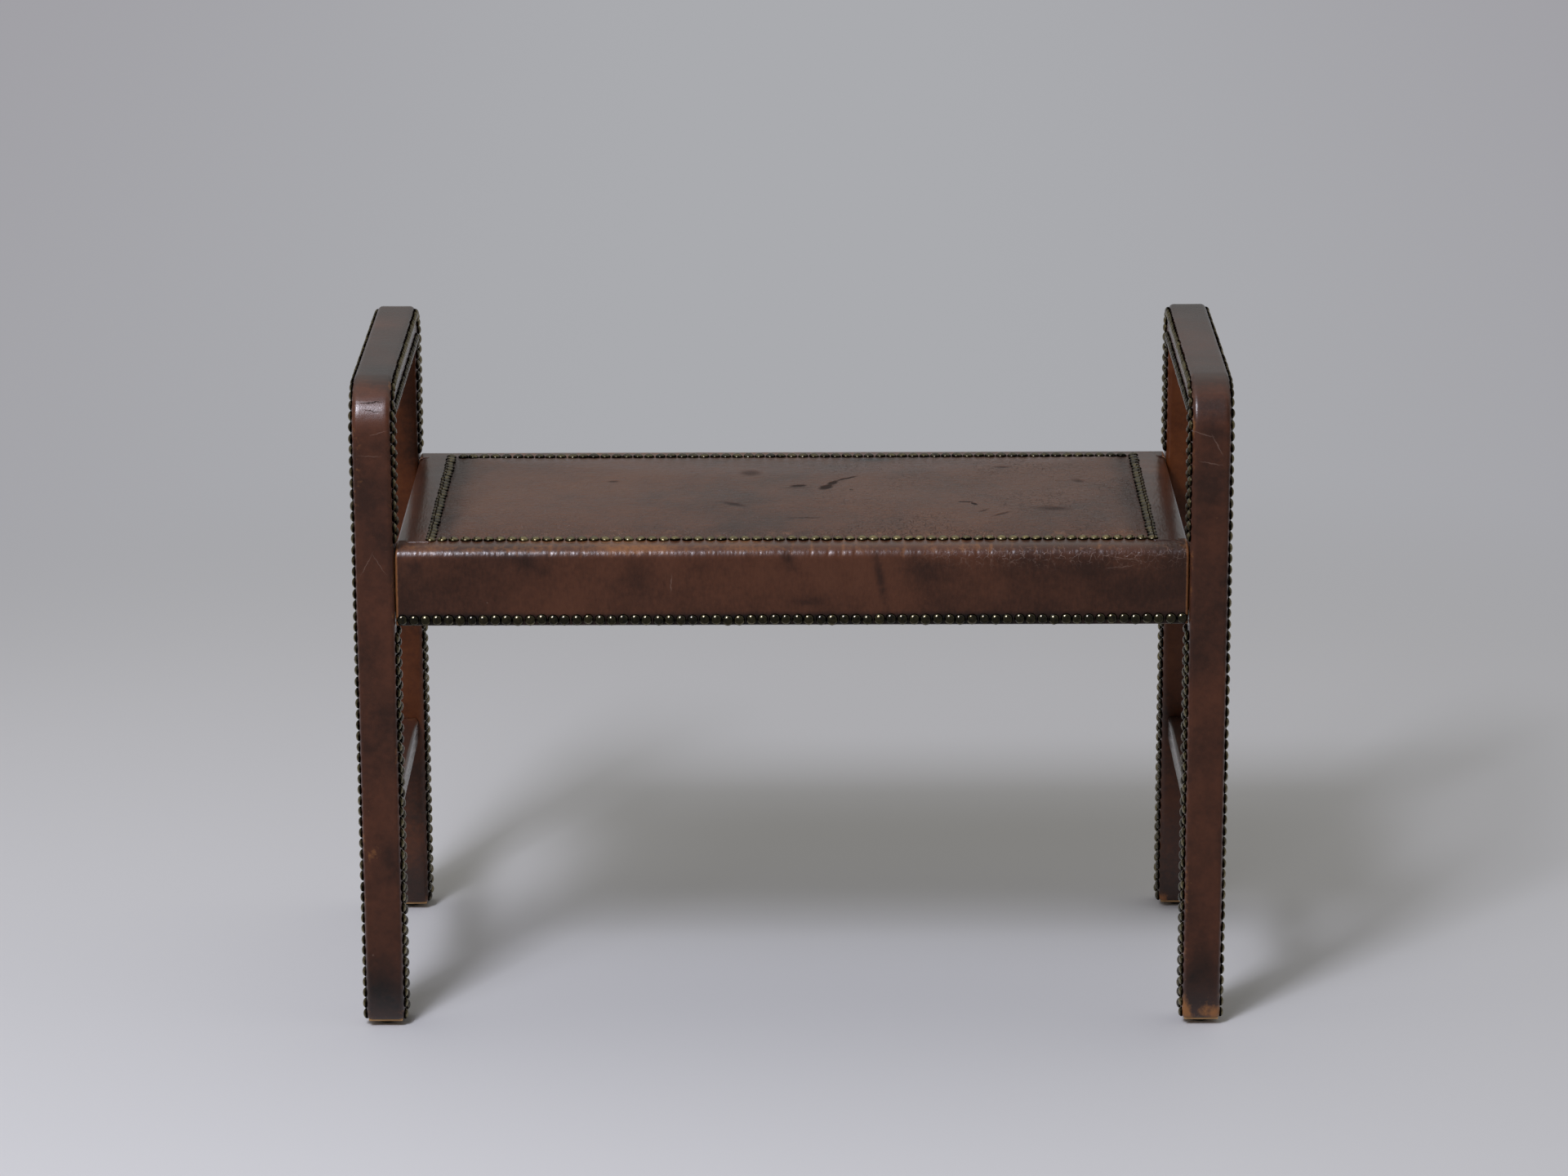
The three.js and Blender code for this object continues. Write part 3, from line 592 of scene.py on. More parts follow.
# %% [markdown]
# The path is an upside-down U in the plane of the frame. A point of the strip is the path's point, moved along the
# path's normal by its inset. Near the floor the strip draws in by a quarter round, as the leather is pulled over
# the bottom arris of the leg.

# %% The edge of an arched frame
FOOT_ROUND = 4.5
EDGE_ROUND = 4.5
FRAME_CORNER = 44
OPENING_CORNER = 4


def arch(half, top, radius, outward):
    """Positions (Y, Z) and normals along an upside-down U. outward is 1 for the outer edge, -1 for the opening."""
    leg = np.linspace(foot, top - radius, int((top - radius - foot) / STEP))
    turn = max(int(radius / STEP * 1.6), 6)
    rail = np.linspace(radius - half, half - radius, int(2 * (half - radius) / STEP))[1:-1]
    path = np.concatenate([
        points_at(-half, leg)[:-1], arc(radius - half, top - radius, radius, 180, 90, turn),
        points_at(rail, top), arc(half - radius, top - radius, radius, 90, 0, turn),
        points_at(half, leg[::-1])[1:]])
    along = unit(np.gradient(path, axis=0))
    return path, points_at(-along[:, 1], along[:, 0]) * outward


def quarter_round(distance, radius):
    """How far a quarter circle draws in at a distance from its end: r - sqrt(r^2 - (r - d)^2)."""
    left = radius - np.clip(distance, 0, radius)
    return radius - np.sqrt(radius ** 2 - left ** 2)


def carried(path, normal, profile, centre):
    """Points X = centre + across and (Y, Z) = path - inset x normal, drawn in by a quarter round at the foot."""
    drawn = quarter_round(path[:, 1:] - foot, FOOT_ROUND)
    across = profile[:, 0] * (1 - drawn / half_width)
    inset = profile[:, 1] + drawn
    return points_at(centre + across, path[:, :1] - inset * normal[:, :1], path[:, 1:] - inset * normal[:, 1:])


def closed_strip(name, points, flip=False):
    """A tube of carried cross-sections, closed by a cap at each end. A cap runs against the tube's own edge, so
    that both face outwards."""
    rows, columns = points.shape[:2]
    cap = cap_faces(columns)
    faces = np.concatenate([grid_faces(rows, columns, wrap=True), cap[:, ::-1], cap + (rows - 1) * columns])
    return mesh_of(name, points, faces[:, ::-1] if flip else faces)


# %% [markdown]
# Wear follows use. The arches' corners and edges are rubbed by hands, so they are lighter, and the feet are darker
# towards the floor, with tan corners where the dye has chipped off.

# %% Outer and inner bindings of the two frames
# The web sinks under its nails by this much, and by up to as much again where the leather is uneven
WEB_SINK = 0.12
# The left feet are chipped less than the right ones
CHIPPED = {-1: 0.25, 1: 1.0}
# Dark and rubbed places on the front of each leg: x, z, half width, half height, slant and strength
LEG_STAINS = {-1: [(-348, 158, 8, 14, 0, 0.6), (-358, 30, 20, 20, 0, 0.35)],
              1: [(360, 532, 12, 8, 0, 0.35), (352, 556, 18, 8, 0, 0.3), (355, 520, 22, 14, 0, 0.3),
                  (355, 492, 22, 22, 0, 0.6), (355, 38, 16, 34, 0, 1.0)]}
LEG_RUBS = {-1: [(-367, 515, 3, 60, 0, 0.2), (-363, 161, 6, 10, 0, 0.35)],
            1: [(338, 538, 3, 22, 0, 0.55), (341, 120, 2, 90, 0, 0.2), (340, 15, 6, 11, 0, 0.8),
                (361, 13, 9, 8, 0, 0.6)]}


def frame_binding(side, name, edge, outward, seed):
    """One binding of one frame. edge is the half depth, the top and the corner radius of the U that it follows."""
    path, normal = arch(*edge, outward)
    profile = channel(half_width, WRAP_RETURN, EDGE_ROUND)
    across, inset = profile.T
    points = carried(path, normal, profile, side * frame_x)
    sink = (inset < EDGE_ROUND) * (WEB_SINK + WEB_SINK * unevenness(points, 55, seed))
    points[..., 1:] -= normal[:, None] * sink[..., None]
    mesh = closed_strip(name, points, flip=outward > 0)

    height = points[..., 2]
    front = points[..., 1] < -opening_half
    on_edge = bump_at(np.abs(across), half_width - 1.5, 1.6) * (inset < EDGE_ROUND)
    rubbed = on_edge * (0.08 + 0.2 * unevenness(points, 30, seed + 1))
    low_foot = soft_step(height, 95, 10)
    chipped = soft_step(height, 20, 6) * soft_step(np.abs(across), 6, 13) * CHIPPED[side]
    on_top = soft_step(height, frame_top - 14, frame_top - 1)
    corner = bump_at(height, frame_top - 18, 16) * (outward > 0)
    paint(mesh, "worn", rubbed + chipped + blots(points, LEG_RUBS[side]) * front)
    paint(mesh, "crazed", corner * 0.12)
    paint(mesh, "stain_and_shade", 0.45 * low_foot * (1 - chipped) + 0.6 * on_top
          + 0.25 * unevenness(points, 90, seed + 2) + blots(points, LEG_STAINS[side]) * front)
    return mesh


outer_edge = (frame_depth, frame_top, FRAME_CORNER)
opening_edge = (opening_half, opening_top, OPENING_CORNER)
for side, name in SIDES:
    outer = frame_binding(side, f"{name}_frame_binding", outer_edge, 1, 11 + side)
    piece_of(outer, frame_leather, "frame_leather", f"{name}_outer_wrap")
    inner = frame_binding(side, f"{name}_opening_lining", opening_edge, -1, 21 + side)
    piece_of(inner, lining_leather, "frame_leather", f"{name}_inner_wrap")

# %% [markdown]
# Each stretcher is a square rail in a leather sleeve, sewn or glued along its underside. The sleeve is a rounded
# square carried from post to post, with a slight swell so that it doesn't look machined.

# %% Stretcher sleeves
SLEEVE_ROUND = 3.5
SLEEVE_INNER_ROUND = 2
SLEEVE_SWELL = 0.15
SLEEVE_LOOPS = 110


def rounded_square(half, radius):
    """Points of a square with round corners, anticlockwise."""
    return np.concatenate([
        arc(sx * (half - radius), sz * (half - radius), radius, start, start + 90, 5)
        for sx, sz, start in ((1, 1, 0), (-1, 1, 90), (-1, -1, 180), (1, -1, 270))])


def stretcher_sleeve(side, name):
    """A leather tube between the posts of one frame."""
    half = (sleeve_high[0] - sleeve_low[0]) / 2
    height = (sleeve_high[2] + sleeve_low[2]) / 2
    y = np.linspace(sleeve_low[1], sleeve_high[1], SLEEVE_LOOPS)[:, None]
    loops = rounded_square(half, SLEEVE_ROUND), rounded_square(half - LEATHER, SLEEVE_INNER_ROUND)
    outer, inner = [points_at(side * frame_x + loop[:, 0], y, height + loop[:, 1]) for loop in loops]
    outer[..., 2] -= SLEEVE_SWELL * (1 + unevenness(outer, 40, 31 + side))
    rows, count = outer.shape[:2]
    sides = grid_faces(rows, count, wrap=True)
    around = np.arange(count)
    after = np.roll(around, -1)
    ring = np.stack([around, after, after + rows * count, around + rows * count], axis=-1)
    faces = np.concatenate([sides[:, ::-1], sides + rows * count, ring, (ring + (rows - 1) * count)[:, ::-1]])
    points = np.concatenate([outer, inner])
    mesh = mesh_of(f"{name}_stretcher_sleeve", points, faces)
    paint(mesh, "worn", 0.3 * unevenness(points, 25, 33 + side))
    paint(mesh, "stain_and_shade", 0.35 + 0.2 * unevenness(points, 60, 35 + side))
    return mesh


for side, name in SIDES:
    piece_of(stretcher_sleeve(side, name), frame_leather, "frame_leather", f"{name}_stretcher_leather")

# %% [markdown]
# The seat's front and rear edges are one strip of leather each. It starts under the rail, comes round the bottom
# arris, goes up the face, over a soft edge and in to the nail line. The strip is a profile in the (Y, Z) plane
# carried along X, with its two ends turned back against the legs.

# %% Front and rear aprons
APRON_EDGE = 11
APRON_ARRIS = 2
APRON_TURNUNDER = 9
APRON_END_ROUND = 2.2
APRON_COLUMNS = 700
# Depth of the unevenness of the face, share of the pulls' depth, and depth of the ripples, in millimetres
FACE_UNEVEN = 0.2
PULL_SHARE = 0.6
RIPPLE_DEPTH = 0.12
# Pull wrinkles: place along X and depth in millimetres
PULLS = [(-205, 0.3), (-178, 0.35), (-90, 0.25), (1, 0.45), (17, 0.5), (32, 0.5), (44, 0.5), (55, 0.5),
         (96, 0.5), (120, 0.35), (146, 0.4), (158, 0.5), (170, 0.5), (188, 0.4), (208, 0.4), (262, 0.4)]
# Dark water stains on the front: x, z, half width, half height, slant and strength
APRON_STAINS = [(75, 406, 4, 24, 0.2, 0.75), (-3, 420, 6, 9, 0.3, 0.35), (12, 384, 15, 4, -0.5, 0.4),
                (-226, 420, 7, 7, 0, 0.45), (-211, 412, 12, 8, 0, 0.3), (-131, 407, 11, 16, 0, 0.2),
                (-321, 415, 6, 7, 0, 0.4), (117, 412, 24, 10, 0, 0.35), (-318, 395, 14, 18, 0, 0.15),
                (215, 414, 30, 12, 0, 0.25), (255, 412, 16, 9, 0, 0.3), (280, 392, 50, 20, 0, 0.25)]


def apron_profile(shrink):
    """Points (inset from the face, height) from under the rail to the nail line, moved inwards by shrink."""
    edge, arris = APRON_EDGE - shrink, APRON_ARRIS - shrink
    bottom, top = seat_bottom + shrink, seat_top - shrink
    return np.concatenate([
        points_at(np.linspace(APRON_TURNUNDER, shrink + arris, 4)[:-1], bottom),
        arc(shrink + arris, bottom + arris, arris, 270, 180, 4),
        points_at(shrink, np.linspace(bottom + arris, top - edge, 27)[1:-1]),
        arc(shrink + edge, top - edge, edge, 180, 90, 12),
        points_at(np.linspace(shrink + edge, seat_depth - nail_line_y, 10)[1:], top)])


def apron(end, name, seed):
    """The strip of one apron. end is -1 at the front and 1 at the back. Pull wrinkles are narrow grooves that
    start at the top edge, one for each place in PULLS, and fade downwards. Finer ripples lie across the rounded
    edge."""
    profile_inset, profile_height = skin(apron_profile).T
    x = np.linspace(-seat_half, seat_half, APRON_COLUMNS)[:, None]
    drawn = quarter_round(seat_half - np.abs(x), APRON_END_ROUND)
    points = points_at(x, end * (seat_depth - profile_inset - drawn),
                       profile_height - drawn * soft_step(profile_height, seat_top - 12, seat_top))
    along, height = points[..., 0], points[..., 2]
    drop = seat_top - height
    face = end * (profile_inset < APRON_EDGE)
    wave = unevenness(points, 70, seed) + 0.5 * unevenness(points * [1, 0.3, 0.3], 14, seed + 1)
    pulls = sum(depth * bump_at(along + 0.12 * drop, at, 1.5) for at, depth in PULLS)
    pulls = pulls * np.exp(-np.clip(drop - 6, 0, 60) / 9)
    ripples = unevenness(points * [1, 0, 0.35], 3.6, seed + 4) * bump_at(drop, 5, 5)
    points[..., 1] -= face * (FACE_UNEVEN * (1 + wave) + PULL_SHARE * pulls + RIPPLE_DEPTH * ripples)
    mesh = closed_strip(name, points, flip=end < 0)

    rubbed = 0.35 + 0.35 * soft_step(unevenness(points * [1, 1, 0.6], 60, seed + 2), -0.5, 0.7)
    tan_side = soft_step(np.abs(along + 150), 190, 90)
    turned_in = soft_step(np.abs(along), seat_half - 3.0, seat_half - 1.6)
    ends = soft_step(np.abs(along), seat_half - 34, seat_half - 4)
    right_side = soft_step(along, 90, 260)
    # Dirt and painted shade: a dark band along the bottom nail row, for grime and for the shadows between the heads
    grime_and_shade = soft_step(height, seat_bottom + 12, seat_bottom + 8)
    spots = blots(points, APRON_STAINS) if end < 0 else 0
    paint(mesh, "worn", bump_at(drop, 2.5, 4.5) * rubbed * (0.45 + 0.55 * tan_side) + 0.8 * turned_in
          + 0.55 * pulls)
    paint(mesh, "crazed", bump_at(drop, 8, 8) * soft_step(along, 70, 190))
    paint(mesh, "stain_and_shade", (grime_and_shade + 0.15 * ends + 0.35 * right_side + spots
                            + 0.15 * unevenness(points, 80, seed + 3)) * (1 - turned_in))
    return mesh


for (end, name), seed in zip(ENDS, (41, 51)):
    piece_of(apron(end, f"{name}_apron", seed), apron_leather, "seat_leather", f"{name}_apron_leather")

# %% [markdown]
# The leather at each end of the seat runs from the nail line over the end edge and down the end face. It is a flap
# laid over the two aprons and cut square just past their nail rows, which leaves a fine dark seam.

# %% End strips
END_ROLL = 16
END_DROP = 5
FLAP_REACH = 149
FLAP_RISE = 0.6
FLAP_UNEVEN = 0.08
# The leather at the left end is less stained than at the right end
END_STAIN = {-1: 0.15, 1: 0.5}


def end_profile(shrink):
    """Points (X, height) from the nail line, over the end edge and down the face, moved inwards by shrink."""
    bottom, top = seat_bottom + shrink, seat_top + FLAP_RISE - shrink
    wide, high = END_ROLL - shrink, END_DROP - shrink
    return np.concatenate([
        points_at(np.linspace(nail_line_x, seat_half - END_ROLL, 8)[:-1], top),
        arc(0, 0, 1, 90, 0, 14) * [wide, high] + [seat_half - END_ROLL, top - high],
        points_at(seat_half - shrink, np.linspace(top - high, bottom, 24)[1:])])


def end_strip(side, name, seed):
    """The leather over one end of the seat."""
    across, height = skin(end_profile).T
    points = points_at(side * across, np.linspace(-FLAP_REACH, FLAP_REACH, 130)[:, None], height)
    wave = unevenness(points * [0.5, 1, 0.5], 24, seed) + unevenness(points, 70, seed + 1)
    points[..., 2] -= (height > seat_top - 2) * FLAP_UNEVEN * (1 + wave)
    mesh = closed_strip(name, points, flip=side < 0)
    paint(mesh, "worn", 0.2 * unevenness(points, 30, seed + 2))
    paint(mesh, "stain_and_shade", END_STAIN[side] + 0.2 * unevenness(points, 60, seed + 3))
    return mesh


for side, name in SIDES:
    piece_of(end_strip(side, f"{name}_end_strip", 61 + side), apron_leather, "seat_leather",
             f"{name}_end_leather")

# %% [markdown]
# The seat panel is leather drawn tight over curled hair. It is made as an upholsterer would: a low closed pad that
# is held down all round under the nails, then blown up by a cloth simulation with a little pressure until the
# leather is taut. The rise is capped at the crown that the CAD panel has, and one subdivision smooths the result.

# %% The pad before it is filled
PANEL_STEP = 4.2
PANEL_FLANGE = 5.5
PANEL_ROLL = 24
REAR_ROLL = 8
CROWN_SHARE = 0.48
PUCKER_PITCH = 2 * nail_line_x / 62
PANEL_CROWN = panel_high[2] - seat_top
PANEL_FLOOR = panel_low[2] + 0.2
# Share of the rise that the pad has before it is filled
UNFILLED = 0.62
panel_half_x, panel_half_y = panel_high[:2] - PANEL_FLANGE


def panel_rise(x, y):
    """Height over the nail border: a parabola over the rolled edge, which is tighter at the rear, plus a wide
    crown. The two are shares of the panel's whole rise."""
    edge_x = np.clip((panel_half_x - np.abs(x)) / PANEL_ROLL, 0, 1)
    edge_y = np.clip((panel_half_y - np.abs(y)) / np.where(y > 0, REAR_ROLL, PANEL_ROLL), 0, 1)
    lift = (1 - (1 - edge_x) ** 2) * (1 - (1 - edge_y) ** 2)
    arched = np.clip(1 - (x / panel_half_x) ** 2, 0, 1) * np.clip(1 - (y / panel_half_y) ** 2, 0, 1)
    return PANEL_CROWN * ((1 - CROWN_SHARE) * lift + CROWN_SHARE * arched)


def pad_mesh():
    """The closed pad, and how many of its points are the leather on top."""
    gx, gy = np.meshgrid(*[np.linspace(low, high, int((high - low) / PANEL_STEP))
                           for low, high in zip(panel_low[:2], panel_high[:2])])
    top = points_at(gx, gy, seat_top + UNFILLED * panel_rise(gx, gy))
    return slab("seat_cushion", top, points_at(gx, gy, PANEL_FLOOR)), gx.size


# %% Fill the pad by cloth simulation
CLOTH = {"use_pressure": True, "uniform_pressure_force": 4.0, "mass": 0.6, "tension_stiffness": 40,
         "compression_stiffness": 40, "bending_stiffness": 6, "vertex_group_mass": "held"}
FILL_FRAMES = 20


def fill(piece, top_count):
    """Holds the rim and the underside, then lets pressure lift the leather for a few frames."""
    rest = positions(piece.data)
    loose = (np.abs(rest[:, 0]) < panel_half_x) & (np.abs(rest[:, 1]) < panel_half_y)
    loose[top_count:] = False
    held = piece.vertex_groups.new(name="held")
    held.add(np.flatnonzero(~loose).tolist(), 1.0, "REPLACE")
    cloth = piece.modifiers.new("filling", "CLOTH")
    for key, value in CLOTH.items():
        setattr(cloth.settings, key, value)
    cloth.settings.effector_weights.gravity = 0
    cloth.point_cache.frame_start = 1
    cloth.point_cache.frame_end = FILL_FRAMES
    for number in range(1, FILL_FRAMES + 1):
        bpy.context.scene.frame_set(number)
    solved = piece.evaluated_get(bpy.context.evaluated_depsgraph_get())
    filled = positions(solved.data)
    piece.modifiers.remove(cloth)
    bpy.context.scene.frame_set(1)
    return filled


pad, leather_count = pad_mesh()
seat_cushion = piece_of(pad, seat_leather, "seat_leather", "seat_panel_leather", "stuffing_pad")
before = positions(pad)
full_height = seat_top + panel_rise(*before[:leather_count, :2].T)
after = fill(seat_cushion, leather_count)
print("the leather rose by", round(float((after - before)[:, 2].max()), 2), "mm")

# %% Cap the rise, then smooth the leather once
RISE_CAP = 0.3
after[:leather_count, 2] = np.minimum(after[:leather_count, 2], full_height + RISE_CAP)
move_points(pad, after)
smoothing = seat_cushion.modifiers.new("smoothing", "SUBSURF")
smoothing.levels = 1
smoothing.render_levels = 1
smoothing.boundary_smooth = "PRESERVE_CORNERS"
smooth_pad = bpy.data.meshes.new_from_object(seat_cushion.evaluated_get(bpy.context.evaluated_depsgraph_get()))
seat_cushion.modifiers.remove(smoothing)
seat_cushion.data = smooth_pad
smooth_pad.name = "seat_cushion"
print("seat cushion", len(smooth_pad.polygons), "faces")

# %% [markdown]
# The leather is gathered a little towards each nail. The puckers are cosine grooves across the nail rows, one nail
# apart, and long irregular creases run in from the two ends. Both fade with the distance from the nails.

# %% Puckers and creases
PUCKER_DEPTH = 0.35
PUCKER_FADE = 6
CREASE_DEPTH = 0.7
CREASE_PITCH = 17
CREASE_FADE = 17
place = positions(smooth_pad)
from_side = np.clip(panel_half_y - np.abs(place[:, 1]), 0, None)
from_end = np.clip(panel_half_x - np.abs(place[:, 0]), 0, None)
wander = unevenness(place, 45, 73)
gathered = 0.5 + 0.5 * np.cos(2 * math.pi * place[:, 0] / PUCKER_PITCH + wander)
gathered *= np.exp(-from_side / PUCKER_FADE)
creased = 0.5 + 0.5 * np.cos(2 * math.pi * place[:, 1] / CREASE_PITCH + 3.0 * wander)
creased *= np.exp(-from_end / CREASE_FADE) * soft_step(unevenness(place * [0.3, 1, 1], 26, 74), -0.7, 0.5)
free = (np.minimum(from_side, from_end) > 1) & (place[:, 2] > seat_top + 0.3)
place[:, 2] -= (PUCKER_DEPTH * gathered + CREASE_DEPTH * creased) * free
move_points(smooth_pad, place)
print("the deepest crease is", round(float((CREASE_DEPTH * creased * free).max()), 2), "mm")

# %% [markdown]
# The panel is rubbed pale in places along its front edge and crackled most on its right half. At both ends it is
# darkened by painted shade, where the leather rolls down to the nails, and it is dark in one patch near the back.

# %% Wear on the panel
rear_patch = bump_at(place[:, 0], 74, 22) * bump_at(place[:, 1], 118, 11)
front_rub = soft_step(place[:, 1], -100, -134) * soft_step(unevenness(place, 30, 72), -0.3, 0.9)
right_part = soft_step(place[:, 0], -20, 90) * soft_step(unevenness(place, 90, 75), -0.6, 0.6)
paint(smooth_pad, "worn", front_rub * 0.35)
paint(smooth_pad, "crazed", 0.2 + 0.6 * right_part)
# Painted shade darkens both ends beside the end nails, where the leather rolls down; the patch near the back is
# dark too
paint(smooth_pad, "stain_and_shade", 0.8 * rear_patch + 0.55 * soft_step(from_end, 24, 3) + 0.1 * wander)

# %% [markdown]
# Upholstery nails have a domed head of 10 mm on a short shank. They are driven head to head by eye, so each one
# sits a little off its place and leans a little. One head is a half ellipse turned about its axis, in a few dozen
# faces, and a row is that head copied to every place at once by array sums.

# %% One nail head
NAIL_RADIUS = 4.9
NAIL_SEGMENTS = 12
NAIL_PITCH = 9.76
NAIL_INSET = 7
# Spread of the heads' size, and of their slips from their places in millimetres
NAIL_SIZE_SPREAD = 0.02
NAIL_SLIP = 0.22
rise_angles = np.radians([-6, 14, 36, 58, 80])[:, None]
turn_angles = np.linspace(0, 2 * math.pi, NAIL_SEGMENTS, endpoint=False)
head = points_at(
    NAIL_RADIUS * np.cos(rise_angles) * np.cos(turn_angles),
    NAIL_RADIUS * np.cos(rise_angles) * np.sin(turn_angles), NAIL_STANDOFF * np.sin(rise_angles)).reshape(-1, 3)
crown = cap_faces(NAIL_SEGMENTS)
head_faces = np.concatenate([grid_faces(len(rise_angles), NAIL_SEGMENTS, wrap=True),
                             crown + len(head) - NAIL_SEGMENTS, crown[:, ::-1]])
print("one nail head has", len(head_faces), "faces")


# %% Rows of nails
def spaced(path, pitch):
    """Even places along a polyline, with half a pitch left at each end, and the direction at each place."""
    length = np.concatenate([[0], np.cumsum(np.linalg.norm(np.diff(path, axis=0), axis=1))])
    count = int(round(length[-1] / pitch))
    at = (np.arange(count) + 0.5) * length[-1] / count
    places, ahead, behind = [
        points_at(*[np.interp(at + shift, length, axis) for axis in path.T]) for shift in (0, 0.5, -0.5)]
    return places, unit(ahead - behind)


def nail_row(name, places, along, axis, seed, tones, breadth=1.0, rise=1.0, lean=4.0):
    """A head at each place. axis is the direction that the heads face, along is the row's direction, tones are the
    darkest and brightest metal in the row or at each place, breadth and rise scale the heads' radius and height,
    and lean is how far they tilt, in degrees."""
    rng = np.random.default_rng(seed)
    count = len(places)
    side = np.cross(axis, along)
    tilt = np.radians(rng.normal(0, lean, (count, 2)))
    up = unit(axis + tilt[:, :1] * along + tilt[:, 1:] * side)
    first = unit(along - (along * up).sum(axis=1, keepdims=True) * up)
    second = np.cross(up, first)
    size = rng.normal(1, NAIL_SIZE_SPREAD, (count, 1, 1))
    slip = rng.normal(0, NAIL_SLIP, (count, 2))
    base = places + slip[:, :1] * along + slip[:, 1:] * side
    local = head * size * [breadth, breadth, rise]
    points = base[:, None] + local @ np.stack([first, second, up], axis=1)
    faces = (head_faces + (np.arange(count) * len(head))[:, None, None]).reshape(-1, 4)
    mesh = mesh_of(name, points, faces)
    paint(mesh, "crown", np.tile(head[:, 2] / NAIL_STANDOFF, count))
    paint(mesh, "tone", np.repeat(rng.uniform(*tones, count), len(head)))
    return mesh


# %% [markdown]
# A frame has four rows: along its outer edge and along its opening, on both faces. On the inner face the rows stop
# where the seat is joined to the legs, because no nail could be driven there.

# %% Nails on the frames
# Name of a row, the edge that it follows and how far in it lies, what it adds to the seed, and its tones
FRAME_ROWS = [("edge", outer_edge, -NAIL_INSET, 0, (0.3, 0.65)),
              ("opening", opening_edge, NAIL_INSET, 5, (0.0, 0.2))]


def frame_row(side, face, edge, shift):
    """Places, directions and facing of one row. face is -1 or 1 along X."""
    path = arch(*[size + shift for size in edge], 1)[0]
    path = path[path[:, 1] > foot + NAIL_RADIUS * 0.9]
    path = np.concatenate([[[path[0, 0], foot + 0.8]], path, [[path[-1, 0], foot + 0.8]]])
    surface = np.full(len(path), side * frame_x + face * half_width)
    places, along = spaced(np.column_stack([surface, path]), NAIL_PITCH)
    if face != side:
        clear = (places[:, 2] < seat_bottom - 3) | (places[:, 2] > seat_top + 3)
        places, along = places[clear], along[clear]
    return places, along, np.array([face, 0.0, 0.0])


for side, name in SIDES:
    for face_name, face in (("outside", side), ("inside", -side)):
        for row_name, edge, shift, more, tones in FRAME_ROWS:
            row = f"{name}_{face_name}_{row_name}_nail"
            heads = nail_row(f"{row}_heads", *frame_row(side, face, edge, shift), 100 + 10 * side + face + more,
                             tones, breadth=0.95)
            piece_of(heads, nail_metal, "brass_nails", f"{row}s")

# %% [markdown]
# The seat has one closed row round the panel, where the panel, the aprons and the end strips meet, and a row along
# the bottom of each apron.

# %% Nails on the seat
BORDER_COUNT_X = 63
BORDER_COUNT_Y = 30
APRON_NAIL_COUNT = 68
APRON_NAIL_RISE = 5.3


def border_row():
    """Places round a rectangle on the nail line, the direction of the row at each, and their facing."""
    x = np.linspace(-nail_line_x, nail_line_x, BORDER_COUNT_X)
    y = np.linspace(-nail_line_y, nail_line_y, BORDER_COUNT_Y)[1:-1]
    places = np.concatenate([points_at(x, edge * nail_line_y, seat_top) for edge in (-1, 1)]
                            + [points_at(edge * nail_line_x, y, seat_top) for edge in (-1, 1)])
    along = np.repeat([[1.0, 0.0, 0.0], [0.0, 1.0, 0.0]], [2 * len(x), 2 * len(y)], axis=0)
    return places, along, np.array([0.0, 0.0, 1.0])


def apron_row(end):
    """Places along the bottom of one apron, the direction of the row, and its facing."""
    reach = seat_half - NAIL_RADIUS - 0.3
    x = np.linspace(-reach, reach, APRON_NAIL_COUNT)
    places = points_at(x, end * seat_depth, seat_bottom + APRON_NAIL_RISE)
    return places, np.tile([1.0, 0, 0], (len(x), 1)), np.array([0.0, end, 0.0])


border_places = border_row()
at_front = border_places[0][:, 1] < 1 - nail_line_y
border_tones = np.where(at_front, 0.4, 0.0), np.where(at_front, 0.8, 0.25)
border_heads = nail_row("border_nail_heads", *border_places, 201, border_tones, breadth=0.97)
piece_of(border_heads, nail_metal, "brass_nails", "border_nails")
for (end, name), seed in zip(ENDS, (202, 203)):
    apron_heads = nail_row(f"{name}_apron_nail_heads", *apron_row(end), seed, (0.0, 0.25), rise=0.9)
    piece_of(apron_heads, nail_metal, "brass_nails", f"{name}_apron_nails")

# %% [markdown]
# Under each leg is a domed steel glide, pressed from sheet and nailed in. It is a profile turned about its axis: a
# flat middle that meets the floor, a curve up to the rim, and a small rolled edge that catches the light.

# %% Glides
GLIDE_FLAT = 5
GLIDE_DOME = 3.6
GLIDE_ROLL = 0.45
GLIDE_SHANK = 1.2


